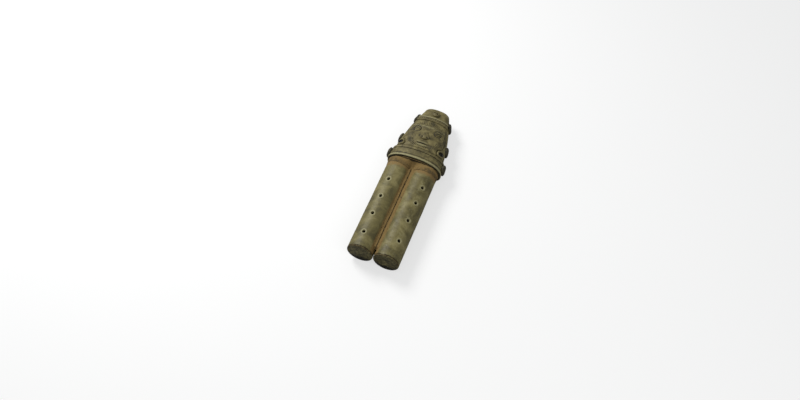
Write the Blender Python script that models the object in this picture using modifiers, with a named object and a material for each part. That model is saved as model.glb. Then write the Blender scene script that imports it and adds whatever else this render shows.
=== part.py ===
"""Double clay flute: two closed pipes side by side under one modelled head.

The flute lies on its back with its face up (+Z) and its feet towards -Y, and it is
blown through the crown of the head at +Y. Everything is first set out in the flute's
own lines: y runs from the feet at 0 to the crown, and z is 0 on the axes of the pipes.
One parent empty then carries the whole flute, so that its box stands on z = 0 with its
centre over the origin. All sizes are in metres.
"""

import math
from functools import lru_cache

import bmesh
import bpy
from mathutils import Matrix, Vector

# Clearance between pieces of clay that meet
JOINT_GAP = 0.0003

# Pipes
TUBE_RADIUS = 0.0148
TUBE_WALL = 0.0042
TUBE_END = 0.1250
TUBE_SIDES = 40

# Foot caps
CAP_THICKNESS = 0.0014
CAP_EDGE_RADIUS = 0.0009
CAP_SPIGOT_LENGTH = 0.0045

# Finger holes: distance from the feet, and lean away from the front of the pipe
HOLE_RADIUS = 0.0018
HOLE_CHAMFER = 0.0008
LEFT_HOLE_PLACES = (0.0194, 0.0443, 0.0681, 0.0923)
RIGHT_HOLE_PLACES = (0.0232, 0.0504, 0.0745, 0.0958)
LEFT_HOLE_LEAN = 12.7
RIGHT_HOLE_LEAN = 24.0

# Sound windows in the back of the pipes, with the ramp down to their edge
WINDOW_WIDTH = 0.0085
WINDOW_LENGTH = 0.0055
RAMP_LENGTH = 0.0080

# Clay pressed into the valleys between the pipes
WEB_START = 0.0080
WEB_HEIGHT = 0.0090
WEB_ROOT = 0.0052
WEB_SAG = 0.0011

# Fillet over the front of the pipes where they run into the head
NECK_LENGTH = 0.0075
NECK_EDGE = 0.0008
NECK_BACK_REACH = 0.0010

# Head: its section at the base and at the crown
CROWN_END = 0.2100
CROWN_START = 0.1922
HEAD_HALF_WIDTH = 0.0304
CROWN_HALF_WIDTH = 0.0144
FACE_DEPTH = 0.0170
CROWN_DEPTH = 0.0087
BACK_DEPTH = 0.0146
TAPER_POWER = 1.9
FRONT_ROUNDNESS = 2.2
BACK_ROUNDNESS = 3.2
HEAD_WALL = 0.0038
BASE_THICKNESS = 0.0055
CROWN_EDGE_RADIUS = 0.0022

# Windways through the head, and the blocks that floor them in the pipes
WINDWAY_WIDTH = 0.0070
WINDWAY_HEIGHT = 0.0018
WINDWAY_SPACING = 0.0110
DUCT_WALL = 0.0012
DUCT_CLEARANCE = 0.0018
DUCT_SPACING = 0.0250

# Bands round the head
COLLAR_OVERHANG = 0.0010
COLLAR_HEIGHT = 0.0158
COLLAR_THICKNESS = 0.0013
COLLAR_LIP = 0.0006
COLLAR_REACH = 128.0
HEADBAND_START = 0.1868
HEADBAND_HEIGHT = 0.0068
HEADBAND_THICKNESS = 0.0012
HEADBAND_RIDGE = 0.0005

# Face plate and the features on it
FACE_START = 0.1424
FACE_END = 0.1864
FACE_SHARE = 0.64
FACE_THICKNESS = 0.0009
FACE_CORNER = 0.0060
NOSE_PLACE = 0.1622
NOSE_LENGTH = 0.0120
NOSE_WIDTH = 0.0104
NOSE_BRIDGE_WIDTH = 0.0044
NOSE_HEIGHT = 0.0026
NOSE_FLARE = 1.5
NOSTRIL_RADIUS = 0.0009
EYE_PLACE = 0.1706
EYE_SPACING = 0.0238
EYE_WIDTH = 0.0068
EYE_HEIGHT = 0.0040
EYE_THICKNESS = 0.0012
EYE_SLANT = 20.0
MOUTH_PLACE = 0.1488
MOUTH_WIDTH = 0.0140
LIP_HEIGHT = 0.0032
LIP_THICKNESS = 0.0015

# Ear discs, side pellets and the lug on the crown
EAR_ACROSS = 0.0244
EAR_RADIUS = 0.0047
EAR_HOLLOW_RADIUS = 0.0024
EAR_THICKNESS = 0.0020
STUD_THICKNESS = 0.0012
PELLET_RADIUS = 0.0062
PELLET_THICKNESS = 0.0030
MIDDLE_PELLET_PLACE = 0.1600
LUG_PLACE = 0.2002
LUG_WIDTH = 0.0086
LUG_HEIGHT = 0.0078
LUG_THICKNESS = 0.0026
LUG_HOLE_RADIUS = 0.0011

# Sizes that follow from those above
BORE_RADIUS = TUBE_RADIUS - TUBE_WALL
TUBE_OFFSET = TUBE_RADIUS + JOINT_GAP / 2
BASE_START = TUBE_END + JOINT_GAP
HEAD_START = BASE_START + BASE_THICKNESS + JOINT_GAP
NECK_START = TUBE_END - NECK_LENGTH
BLOCK_RADIUS = BORE_RADIUS - JOINT_GAP
DUCT_WIDTH = WINDWAY_WIDTH + 2 * DUCT_WALL
DUCT_HEIGHT = WINDWAY_HEIGHT + 2 * DUCT_WALL
DUCT_DROP = BACK_DEPTH - HEAD_WALL - DUCT_CLEARANCE - DUCT_HEIGHT / 2
COLLAR_START = BASE_START + COLLAR_OVERHANG
COLLAR_TOP_LIFT = JOINT_GAP + COLLAR_THICKNESS
FACE_TOP_LIFT = JOINT_GAP + FACE_THICKNESS
COLLAR_END = COLLAR_START + COLLAR_HEIGHT
EAR_PLACE = COLLAR_END + 2 * JOINT_GAP + EAR_RADIUS
COLLAR_PELLET_PLACE = COLLAR_START + COLLAR_HEIGHT / 2 + 0.0008
CUT_MARGIN = 0.0020

CLAY_GREEN = (0.150, 0.140, 0.066)
CLAY_OLIVE = (0.098, 0.090, 0.040)
CLAY_OCHRE = (0.180, 0.135, 0.058)
CLAY_BROWN = (0.075, 0.055, 0.026)
CLAY_DARK = (0.036, 0.033, 0.015)


def clear_scene():
    """Remove every object the scene starts with."""
    for item in list(bpy.data.objects):
        bpy.data.objects.remove(item, do_unlink=True)


def make_collection(name):
    """Return a new collection linked into the scene."""
    collection = bpy.data.collections.new(name)
    bpy.context.scene.collection.children.link(collection)
    return collection


def clay(name, colour, roughness=0.55):
    """Return a fired clay material of one colour."""
    material = bpy.data.materials.new(name + "_clay")
    material.use_nodes = True
    shader = material.node_tree.nodes["Principled BSDF"]
    shader.inputs["Base Color"].default_value = (*colour, 1.0)
    shader.inputs["Roughness"].default_value = roughness
    shader.inputs["Metallic"].default_value = 0.0
    return material


clear_scene()
FLUTE = make_collection("double_clay_flute")
CUTTERS = make_collection("cutters")

FLUTE_FRAME = bpy.data.objects.new("flute_frame", None)
FLUTE_FRAME.location = (0.0, -CROWN_END / 2, max(TUBE_RADIUS, BACK_DEPTH))
FLUTE.objects.link(FLUTE_FRAME)


def face_outwards(shape):
    """Turn all faces of a closed bmesh outwards."""
    bmesh.ops.recalc_face_normals(shape, faces=shape.faces[:])
    if shape.calc_volume(signed=True) < 0.0:
        bmesh.ops.reverse_faces(shape, faces=shape.faces[:])


def add_part(name, shape, colour, place=(0.0, 0.0, 0.0)):
    """Turn a bmesh into a named part of the flute, carried by the flute's frame."""
    face_outwards(shape)
    mesh = bpy.data.meshes.new(name)
    shape.to_mesh(mesh)
    shape.free()
    mesh.shade_smooth()
    mesh.set_sharp_from_angle(angle=math.radians(35))
    mesh.materials.append(clay(name, colour))
    part = bpy.data.objects.new(name, mesh)
    part.location = place
    part.parent = FLUTE_FRAME
    FLUTE.objects.link(part)
    return part


def add_cutter(name, shape, place=(0.0, 0.0, 0.0)):
    """Turn a bmesh into a hidden cutting body in the flute's frame."""
    face_outwards(shape)
    mesh = bpy.data.meshes.new(name)
    shape.to_mesh(mesh)
    shape.free()
    cutter = bpy.data.objects.new(name, mesh)
    cutter.location = place
    cutter.parent = FLUTE_FRAME
    cutter.hide_render = True
    cutter.display_type = "WIRE"
    CUTTERS.objects.link(cutter)
    return cutter


def cut(part, cutter):
    """Cut one body out of a part."""
    modifier = part.modifiers.new(cutter.name, "BOOLEAN")
    modifier.operation = "DIFFERENCE"
    modifier.solver = "EXACT"
    modifier.object = cutter


def loft(rings, closed=False):
    """Skin a run of equal rings, closed into a loop or capped at both ends."""
    shape = bmesh.new()
    loops = [[shape.verts.new(point) for point in ring] for ring in rings]
    following = loops[1:] + loops[:1] if closed else loops[1:]
    for low, high in zip(loops, following):
        for index in range(len(low)):
            after = (index + 1) % len(low)
            shape.faces.new((low[index], low[after], high[after], high[index]))
    if not closed:
        shape.faces.new(loops[0][::-1])
        shape.faces.new(loops[-1])
    return shape


def rod(radius, start, end):
    """Return a cylinder along y from start to end."""
    shape = bmesh.new()
    bmesh.ops.create_cone(
        shape,
        cap_ends=True,
        segments=TUBE_SIDES,
        radius1=radius,
        radius2=radius,
        depth=end - start,
        matrix=Matrix.Translation((0.0, (start + end) / 2, 0.0)) @ Matrix.Rotation(-math.pi / 2, 4, "X"),
    )
    return shape


def turned(name, profile, colour, place):
    """Turn a profile of (radius, y) points into a closed body about the pipe's axis."""
    outline = bmesh.new()
    corners = [outline.verts.new((radius, y, 0.0)) for radius, y in profile]
    for first, second in zip(corners, corners[1:]):
        outline.edges.new((first, second))
    mesh = bpy.data.meshes.new(name)
    outline.to_mesh(mesh)
    outline.free()
    mesh.materials.append(clay(name, colour))
    part = bpy.data.objects.new(name, mesh)
    part.location = place
    part.parent = FLUTE_FRAME
    FLUTE.objects.link(part)
    screw = part.modifiers.new("turned", "SCREW")
    screw.axis = "Y"
    screw.steps = TUBE_SIDES
    screw.render_steps = TUBE_SIDES
    screw.use_merge_vertices = True
    screw.merge_threshold = 0.00001
    screw.use_normal_calculate = True
    screw.use_smooth_shade = True
    return part


# The surface of the head


def taper(base, crown, y):
    """Return a size of the head at y, which draws in faster towards the crown."""
    run = min(max((y - BASE_START) / (CROWN_END - BASE_START), 0.0), 1.0)
    return crown + (base - crown) * (1.0 - run ** TAPER_POWER)


def section_sizes(y, behind):
    """Return the half width, depth and roundness of the head's section, in front or behind."""
    half_width = taper(HEAD_HALF_WIDTH, CROWN_HALF_WIDTH, y)
    if behind:
        return half_width, taper(BACK_DEPTH, CROWN_DEPTH, y), BACK_ROUNDNESS
    return half_width, taper(FACE_DEPTH, CROWN_DEPTH, y), FRONT_ROUNDNESS


def section_point(angle, y, swell=0.0):
    """Return a point of the section at y, at an angle from the front centre towards +X."""
    across, forward = math.sin(angle), math.cos(angle)
    half_width, depth, roundness = section_sizes(y, forward < 0.0)
    x = math.copysign(abs(across) ** (2 / roundness), across) * (half_width + swell)
    z = math.copysign(abs(forward) ** (2 / roundness), forward) * (depth + swell)
    return Vector((x, y, z))


def surface_normal(point):
    """Return the direction out of the head at a point of its surface."""
    step = 0.0001
    half_width, depth, roundness = section_sizes(point.y, point.z < 0.0)
    wider, deeper, _ = section_sizes(point.y + step, point.z < 0.0)
    x_share = abs(point.x) / half_width
    z_share = abs(point.z) / depth
    draw_in = (
        x_share ** roundness * (half_width - wider) / half_width
        + z_share ** roundness * (depth - deeper) / depth
    ) / step
    return Vector((
        math.copysign(x_share ** (roundness - 1) / half_width, point.x),
        draw_in,
        math.copysign(z_share ** (roundness - 1) / depth, point.z),
    )).normalized()


@lru_cache(maxsize=None)
def girth_table(y):
    """Return angles and the distance round the section to each, from the front centre."""
    angles = [math.radians(step) for step in range(0, 181, 2)]
    distances = [0.0]
    for first, second in zip(angles, angles[1:]):
        distances.append(distances[-1] + (section_point(second, y) - section_point(first, y)).length)
    return angles, distances


def quarter_girth(y):
    """Return the distance from the front centre to the side of the head."""
    return girth_table(y)[1][45]


def half_girth(y):
    """Return the distance from the front centre to the back centre."""
    return girth_table(y)[1][-1]


def girth_angle(across, y):
    """Return the section angle at a distance round from the front centre."""
    angles, distances = girth_table(y)
    reach = min(abs(across), distances[-1])
    index = next(i for i, distance in enumerate(distances) if distance >= reach)
    if index == 0:
        return 0.0
    share = (reach - distances[index - 1]) / (distances[index] - distances[index - 1])
    angle = angles[index - 1] + share * (angles[index] - angles[index - 1])
    return math.copysign(angle, across)


def lay(across, y, lift):
    """Return the point a distance round the head from its front centre, lifted off it."""
    point = section_point(girth_angle(across, y), y)
    return point + surface_normal(point) * lift


def head_arc(y, start, end, steps, swell=0.0):
    """Return points evenly spaced round the section between two distances."""
    points = []
    for index in range(steps + 1):
        across = start + (end - start) * index / steps
        points.append(section_point(girth_angle(across, y), y, swell))
    return points


def head_ring(y, steps, swell=0.0):
    """Return the whole section at y as a ring of points."""
    half = half_girth(y)
    return head_arc(y, -half, half, steps, swell)[:-1]


# Pipes


def cap_profile():
    """Return the outline of a foot cap: spigot, shoulder, rounded rim and face."""
    rim = []
    rim_centre = TUBE_RADIUS - CAP_EDGE_RADIUS
    for step in range(5):
        angle = math.radians(90 - 22.5 * step)
        rim.append((rim_centre + CAP_EDGE_RADIUS * math.sin(angle), CAP_EDGE_RADIUS * (1 - math.cos(angle))))
    spigot_end = CAP_THICKNESS + CAP_SPIGOT_LENGTH
    spigot = [(0.0, spigot_end), (BLOCK_RADIUS, spigot_end), (BLOCK_RADIUS, CAP_THICKNESS)]
    return spigot + [(TUBE_RADIUS, CAP_THICKNESS)] + rim + [(0.0, 0.0)]


def tube_profile():
    """Return the closed outline of a pipe's wall."""
    start = CAP_THICKNESS + JOINT_GAP
    return [
        (TUBE_RADIUS, TUBE_END),
        (TUBE_RADIUS, start),
        (BORE_RADIUS, start),
        (BORE_RADIUS, TUBE_END),
        (TUBE_RADIUS, TUBE_END),
    ]


def finger_hole_cutter(name, side, place, lean):
    """Return a chamfered punch leaning outwards from the front of a pipe."""
    top = TUBE_RADIUS + CUT_MARGIN
    mouth = HOLE_RADIUS + HOLE_CHAMFER + CUT_MARGIN
    foot = TUBE_RADIUS - HOLE_CHAMFER
    heights = (BORE_RADIUS - CUT_MARGIN, foot, top)
    radii = (HOLE_RADIUS, HOLE_RADIUS, mouth)
    steps = 16
    rings = []
    for height, radius in zip(heights, radii):
        ring = []
        for index in range(steps):
            angle = math.tau * index / steps
            ring.append(Vector((radius * math.cos(angle), radius * math.sin(angle), height)))
        rings.append(ring)
    shape = loft(rings)
    bmesh.ops.rotate(shape, verts=shape.verts[:], matrix=Matrix.Rotation(side * math.radians(lean), 3, "Y"))
    return add_cutter(name, shape, (side * TUBE_OFFSET, place, 0.0))


def window_cutter(name, side):
    """Return the window slot with its ramp, through the back of a pipe."""
    top = NECK_START
    edge = top - WINDOW_LENGTH
    inner = -BORE_RADIUS + TUBE_WALL / 2
    outer = -TUBE_RADIUS - CUT_MARGIN
    lip = -BORE_RADIUS - 0.0006
    ramp = edge - RAMP_LENGTH
    outline = [(top, inner), (edge, inner), (edge, lip), (ramp, -TUBE_RADIUS), (ramp, outer), (top, outer)]
    rings = []
    for x in (-WINDOW_WIDTH / 2, WINDOW_WIDTH / 2):
        rings.append([Vector((x, y, z)) for y, z in outline])
    return add_cutter(name, loft(rings), (side * TUBE_OFFSET, 0.0, 0.0))


def make_tube(side_name, side, hole_places, lean):
    """Make one pipe with its finger holes and its sound window."""
    place = (side * TUBE_OFFSET, 0.0, 0.0)
    tube = turned(side_name + "_tube", tube_profile(), CLAY_GREEN, place)
    for number, hole_place in enumerate(hole_places, start=1):
        cut(tube, finger_hole_cutter(f"{side_name}_hole_{number}", side, hole_place, lean))
    cut(tube, window_cutter(side_name + "_window", side))
    turned(side_name + "_foot_cap", cap_profile(), CLAY_BROWN, place)


def make_web(name, front):
    """Make the strip of clay pressed into one valley between the pipes."""
    seat = TUBE_RADIUS + JOINT_GAP
    heights = [WEB_ROOT + (WEB_HEIGHT - WEB_ROOT) * step / 4 for step in range(5)]
    flank = [(TUBE_OFFSET - math.sqrt(seat ** 2 - height ** 2), height) for height in heights]
    half_width = flank[-1][0]
    hollow = [(half_width * share, WEB_HEIGHT - WEB_SAG * (1 - share ** 2)) for share in (0.5, 0.0, -0.5)]
    outline = flank + hollow + [(-x, height) for x, height in flank[::-1]]
    rings = []
    for y in (WEB_START, NECK_START - JOINT_GAP):
        rings.append([Vector((x, y, front * height)) for x, height in outline])
    add_part(name, loft(rings), CLAY_OCHRE)


# Neck, base and windways


def pipes_outline(angle):
    """Return the distance from the middle to the outside of both pipes and their web."""
    reach = TUBE_RADIUS + NECK_EDGE
    across, forward = abs(math.sin(angle)), abs(math.cos(angle))
    pipe = TUBE_OFFSET * across + math.sqrt(max(reach ** 2 - (TUBE_OFFSET * forward) ** 2, 0.0))
    web = (WEB_HEIGHT - WEB_SAG) / max(forward, 0.001)
    return max(pipe, min(web, reach))


def make_neck():
    """Make the fillet that runs from the pipes out to the base of the head."""
    steps = 72
    rings = []
    for step in range(6):
        run = step / 5
        y = NECK_START + NECK_LENGTH * run
        ring = []
        for foot in head_ring(BASE_START, steps, -JOINT_GAP):
            angle = math.atan2(foot.x, foot.z)
            reach_start = pipes_outline(angle)
            reach_end = max(math.hypot(foot.x, foot.z), reach_start)
            reach = reach_start + (reach_end - reach_start) * run ** 2.2
            z = max(reach * math.cos(angle), -NECK_BACK_REACH)
            ring.append(Vector((reach * math.sin(angle), y, z)))
        rings.append(ring)
    neck = add_part("neck_fillet", loft(rings), CLAY_OCHRE)
    for side_name, side in (("left", -1), ("right", 1)):
        bore = rod(TUBE_RADIUS + JOINT_GAP, NECK_START - CUT_MARGIN, TUBE_END + CUT_MARGIN)
        cut(neck, add_cutter(side_name + "_neck_bore", bore, (side * TUBE_OFFSET, 0.0, 0.0)))


def slot_cutter(name, start, end, width, height):
    """Return a flat channel between two points, drawn on past both by the cut margin."""
    run = (end - start) / (end.y - start.y)
    rings = []
    for point, y in ((start, start.y - CUT_MARGIN), (end, end.y + CUT_MARGIN)):
        centre = point + run * (y - point.y)
        rings.append(flat_ring(centre, width, height))
    return add_cutter(name, loft(rings))


def flat_ring(centre, width, height):
    """Return the four corners of an upright rectangle about a point."""
    corners = ((-1, -1), (1, -1), (1, 1), (-1, 1))
    return [centre + Vector((x * width / 2, 0.0, z * height / 2)) for x, z in corners]


def windway_points(side):
    """Return a windway's three points: its mouth in the crown, its bend and its exit."""
    mouth = Vector((side * WINDWAY_SPACING / 2, CROWN_END, 0.0))
    bend = Vector((side * DUCT_SPACING / 2, HEAD_START, -DUCT_DROP))
    exit_drop = BORE_RADIUS - WINDWAY_HEIGHT / 2
    way_out = Vector((side * TUBE_OFFSET, NECK_START, -exit_drop))
    return mouth, bend, way_out


def make_inside():
    """Make the base plate, the pipe blocks and the windway ducts, and cut the windways."""
    plate_rings = [head_ring(y, 64, 0.0) for y in (BASE_START, BASE_START + BASE_THICKNESS)]
    plate = add_part("base_plate", loft(plate_rings), CLAY_BROWN)
    for side_name, side in (("left", -1), ("right", 1)):
        mouth, bend, way_out = windway_points(side)
        lower = slot_cutter(side_name + "_lower_windway", way_out, bend, WINDWAY_WIDTH, WINDWAY_HEIGHT)
        cut(plate, lower)
        block_shape = rod(BLOCK_RADIUS, NECK_START, TUBE_END)
        bmesh.ops.translate(block_shape, verts=block_shape.verts[:], vec=(side * TUBE_OFFSET, 0.0, 0.0))
        block = add_part(side_name + "_pipe_block", block_shape, CLAY_BROWN)
        cut(block, lower)
        slope = (mouth - bend) / (mouth.y - bend.y)
        start = bend + slope * JOINT_GAP
        end = bend + slope * (CROWN_START - JOINT_GAP - bend.y)
        duct_rings = [flat_ring(point, DUCT_WIDTH, DUCT_HEIGHT) for point in (start, end)]
        duct = add_part(side_name + "_windway_duct", loft(duct_rings), CLAY_BROWN)
        cut(duct, slot_cutter(side_name + "_upper_windway", bend, mouth, WINDWAY_WIDTH, WINDWAY_HEIGHT))


# Head


def shell_rings(front):
    """Return the C-shaped rings of the front or back half of the hollow head."""
    rings = []
    steps = 26
    rows = 10
    start = HEAD_START
    end = CROWN_START - JOINT_GAP
    for row in range(rows + 1):
        y = start + (end - start) * row / rows
        side = quarter_girth(y)
        reach = (-side, side) if front > 0 else (side, 2 * half_girth(y) - side)
        outer = []
        inner = []
        for index in range(steps + 1):
            across = reach[0] + (reach[1] - reach[0]) * index / steps
            if across > half_girth(y):
                across -= 2 * half_girth(y)
            angle = girth_angle(across, y)
            outer.append(section_point(angle, y))
            inner.append(section_point(angle, y, -HEAD_WALL))
        for points in (outer, inner):
            for corner in (points[0], points[-1]):
                corner.z = front * JOINT_GAP / 2
        rings.append(outer + inner[::-1])
    return rings


def make_crown():
    """Make the solid crown with its rounded end and the mouths of the two windways."""
    rings = []
    straight_end = CROWN_END - CROWN_EDGE_RADIUS
    for y in (CROWN_START, CROWN_START + (straight_end - CROWN_START) / 2):
        rings.append(head_ring(y, 48))
    for step in range(5):
        angle = math.radians(22.5 * step)
        y = straight_end + CROWN_EDGE_RADIUS * math.sin(angle)
        rings.append(head_ring(y, 48, -CROWN_EDGE_RADIUS * (1 - math.cos(angle))))
    crown = add_part("crown_block", loft(rings), CLAY_OLIVE)
    for side_name in ("left", "right"):
        cut(crown, bpy.data.objects[side_name + "_upper_windway"])


def band(name, profile, reach, colour, steps):
    """Lay a strip round the head: a closed profile of (y, swell) carried across its reach.

    The reach is a function of y that gives how far round each end of the strip comes.
    """
    rings = []
    for index in range(steps + 1):
        share = 2 * index / steps - 1
        ring = []
        for y, swell in profile:
            ring.append(section_point(girth_angle(share * reach(y), y), y, swell))
        rings.append(ring)
    return add_part(name, loft(rings), colour)


def collar_reach(y):
    """Return how far round the collar comes, to just behind the sides of the head."""
    side = section_point(math.radians(COLLAR_REACH), y)
    angles, distances = girth_table(y)
    index = min(range(len(angles)), key=lambda i: (section_point(angles[i], y) - side).length)
    return distances[index]


def headband_reach(y):
    """Return how far round the headband comes, to the front edge of the upper pellets."""
    return quarter_girth(y) - PELLET_RADIUS - 2 * JOINT_GAP


def make_bands():
    """Make the collar with its rolled lip, and the headband with its ridge."""
    inner = JOINT_GAP
    outer = COLLAR_TOP_LIFT
    end = COLLAR_END
    profile = [
        (COLLAR_START, inner),
        (COLLAR_START, outer),
        (COLLAR_START + 0.0008, outer + COLLAR_LIP),
        (COLLAR_START + 0.0024, outer + COLLAR_LIP),
        (COLLAR_START + 0.0034, outer),
        (end - 0.0008, outer),
        (end, inner + COLLAR_THICKNESS / 2),
        (end, inner),
    ]
    band("collar_band", profile, collar_reach, CLAY_OLIVE, 54)
    end = HEADBAND_START + HEADBAND_HEIGHT
    outer = JOINT_GAP + HEADBAND_THICKNESS
    profile = [
        (HEADBAND_START, inner),
        (HEADBAND_START, inner + HEADBAND_THICKNESS / 2),
        (HEADBAND_START + 0.0008, outer),
        (end - 0.0018, outer),
        (end - 0.0012, outer + HEADBAND_RIDGE),
        (end - 0.0004, outer + HEADBAND_RIDGE),
        (end, inner),
    ]
    band("headband", profile, headband_reach, CLAY_OLIVE, 26)


def face_edge(y):
    """Return the half width of the face plate at y, with round corners, clear of the ears."""
    edge = FACE_SHARE * quarter_girth(y)
    from_end = min(y - FACE_START, FACE_END - y)
    if from_end < FACE_CORNER:
        rise = FACE_CORNER - from_end
        edge -= FACE_CORNER - math.sqrt(max(FACE_CORNER ** 2 - rise ** 2, 0.0))
    ear_reach = EAR_RADIUS + 3 * JOINT_GAP
    if abs(y - EAR_PLACE) < ear_reach:
        edge = min(edge, EAR_ACROSS - math.sqrt(ear_reach ** 2 - (y - EAR_PLACE) ** 2))
    return edge


def make_face_plate():
    """Make the thin raised plate that carries the features."""
    rows = 24
    columns = 16
    rings = []
    for row in range(rows + 1):
        share = (1 - math.cos(math.pi * row / rows)) / 2
        y = FACE_START + (FACE_END - FACE_START) * share
        edge = face_edge(y)
        spots = [edge * (2 * index / columns - 1) for index in range(columns + 1)]
        under = [lay(across, y, JOINT_GAP) for across in spots]
        over = [lay(across * 0.985, y, FACE_TOP_LIFT) for across in spots]
        rings.append(under + over[::-1])
    add_part("face_plate", loft(rings), CLAY_OLIVE)


def pressed_ball(half_width, half_length, thickness, sides=16, rings=10):
    """Return a ball of clay pressed flat on z = 0, as wide and thick as stated."""
    shape = bmesh.new()
    bmesh.ops.create_uvsphere(shape, u_segments=sides, v_segments=rings, radius=1.0)
    for vert in shape.verts:
        height = max(vert.co.z, 0.0) ** 0.7
        vert.co = Vector((vert.co.x * half_width, vert.co.y * half_length, height * thickness))
    return shape


def lay_shape(shape, across, y, lift):
    """Bend a flat shape onto the head about a place at a distance from the front centre."""
    for vert in shape.verts:
        vert.co = lay(across + vert.co.x, y + vert.co.y, lift + vert.co.z)


def lay_shape_at_side(shape, side, y, lift):
    """Bend a flat shape onto one side of the head about its side line."""
    for vert in shape.verts:
        place = y + vert.co.y
        vert.co = lay(side * (quarter_girth(place) - vert.co.x), place, lift + vert.co.z)


def punch(name, across, y, lift, radius, depth):
    """Return a small punch that reaches down into a piece laid on the head."""
    tip = lay(across, y, lift - depth)
    direction = surface_normal(section_point(girth_angle(across, y), y))
    shape = bmesh.new()
    length = depth + CUT_MARGIN
    turn = direction.to_track_quat("Z", "Y").to_matrix().to_4x4()
    place = Matrix.Translation(tip + direction * length / 2) @ turn
    bmesh.ops.create_cone(
        shape, cap_ends=True, segments=10, radius1=radius, radius2=radius, depth=length, matrix=place
    )
    return add_cutter(name, shape)


def make_features():
    """Make the nose, eyes and lips on the face plate."""
    lift = FACE_TOP_LIFT + JOINT_GAP
    nose_shape = pressed_ball(1.0, NOSE_LENGTH / 2, 1.0, rings=12)
    for vert in nose_shape.verts:
        rise = max(0.5 - vert.co.y / NOSE_LENGTH, 0.0)
        width = NOSE_BRIDGE_WIDTH + (NOSE_WIDTH * NOSE_FLARE - NOSE_BRIDGE_WIDTH) * rise ** 1.5
        vert.co.x *= width / 2
        vert.co.z *= NOSE_HEIGHT * (0.35 + 0.65 * rise)
    lay_shape(nose_shape, 0.0, NOSE_PLACE, lift)
    nose = add_part("nose", nose_shape, CLAY_BROWN)
    nostril_place = NOSE_PLACE - NOSE_LENGTH * 0.28
    for side_name, side in (("left", -1), ("right", 1)):
        nostril_across = side * NOSE_WIDTH * 0.27
        depth = NOSE_HEIGHT * 0.6
        cut(nose, punch(side_name + "_nostril", nostril_across, nostril_place,
                        lift + NOSE_HEIGHT * 0.8, NOSTRIL_RADIUS, depth))
        eye_shape = pressed_ball(EYE_WIDTH / 2, EYE_HEIGHT / 2, EYE_THICKNESS)
        slant = Matrix.Rotation(side * math.radians(EYE_SLANT), 3, "Z")
        bmesh.ops.rotate(eye_shape, verts=eye_shape.verts[:], matrix=slant)
        lay_shape(eye_shape, side * EYE_SPACING / 2, EYE_PLACE, lift)
        add_part(side_name + "_eye", eye_shape, CLAY_OLIVE)
    for name, direction in (("upper_lip", 1), ("lower_lip", -1)):
        lip_shape = pressed_ball(MOUTH_WIDTH / 2, LIP_HEIGHT / 2, LIP_THICKNESS)
        lip_place = MOUTH_PLACE + direction * (LIP_HEIGHT + JOINT_GAP) / 2
        lay_shape(lip_shape, 0.0, lip_place, lift)
        add_part(name, lip_shape, CLAY_OLIVE)


def ear_ring_shape():
    """Return a flat ring of clay with a rounded rim about a hollow."""
    steps = 28
    profile = [
        (EAR_HOLLOW_RADIUS, 0.0),
        ((EAR_HOLLOW_RADIUS + EAR_RADIUS) / 2, 0.0),
        (EAR_RADIUS, 0.0),
        (EAR_RADIUS * 0.95, EAR_THICKNESS * 0.75),
        (EAR_RADIUS * 0.82, EAR_THICKNESS),
        (EAR_HOLLOW_RADIUS * 1.15, EAR_THICKNESS * 0.85),
    ]
    rings = []
    for index in range(steps):
        angle = math.tau * index / steps
        rings.append([Vector((radius * math.cos(angle), radius * math.sin(angle), height))
                      for radius, height in profile])
    return loft(rings, closed=True)


def make_side_pieces():
    """Make the ear rings with their studs, and the three pellets down each side."""
    pellets = (
        ("upper", HEADBAND_START + HEADBAND_HEIGHT, JOINT_GAP),
        ("middle", MIDDLE_PELLET_PLACE, JOINT_GAP),
        ("lower", COLLAR_PELLET_PLACE, COLLAR_TOP_LIFT + COLLAR_LIP + JOINT_GAP),
    )
    for side_name, side in (("left", -1), ("right", 1)):
        ring_shape = ear_ring_shape()
        lay_shape(ring_shape, side * EAR_ACROSS, EAR_PLACE, JOINT_GAP)
        add_part(side_name + "_ear_ring", ring_shape, CLAY_OLIVE)
        stud_radius = EAR_HOLLOW_RADIUS - JOINT_GAP
        stud_shape = pressed_ball(stud_radius, stud_radius, STUD_THICKNESS, 12, 8)
        lay_shape(stud_shape, side * EAR_ACROSS, EAR_PLACE, JOINT_GAP)
        add_part(side_name + "_ear_stud", stud_shape, CLAY_BROWN)
        for height_name, place, lift in pellets:
            pellet_shape = pressed_ball(PELLET_RADIUS, PELLET_RADIUS, PELLET_THICKNESS)
            lay_shape_at_side(pellet_shape, side, place, lift)
            add_part(f"{side_name}_{height_name}_pellet", pellet_shape, CLAY_DARK)


def make_lug():
    """Make the pierced lug on the front of the crown."""
    lug_shape = pressed_ball(LUG_WIDTH / 2, LUG_HEIGHT / 2, LUG_THICKNESS)
    lay_shape(lug_shape, 0.0, LUG_PLACE, JOINT_GAP)
    lug = add_part("crown_lug", lug_shape, CLAY_BROWN)
    spots = ((-LUG_WIDTH * 0.2, LUG_HEIGHT * 0.16), (LUG_WIDTH * 0.18, -LUG_HEIGHT * 0.04))
    for number, (across, along) in enumerate(spots, start=1):
        cut(lug, punch(f"lug_hole_{number}", across, LUG_PLACE + along,
                       JOINT_GAP + LUG_THICKNESS, LUG_HOLE_RADIUS, LUG_THICKNESS * 0.6))


make_tube("left", -1, LEFT_HOLE_PLACES, LEFT_HOLE_LEAN)
make_tube("right", 1, RIGHT_HOLE_PLACES, RIGHT_HOLE_LEAN)
make_web("front_web", 1)
make_web("back_web", -1)
make_neck()
make_inside()
add_part("face_shell", loft(shell_rings(1)), CLAY_GREEN)
add_part("back_shell", loft(shell_rings(-1)), CLAY_GREEN)
make_crown()
make_bands()
make_face_plate()
make_features()
make_side_pieces()
make_lug()
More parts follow.
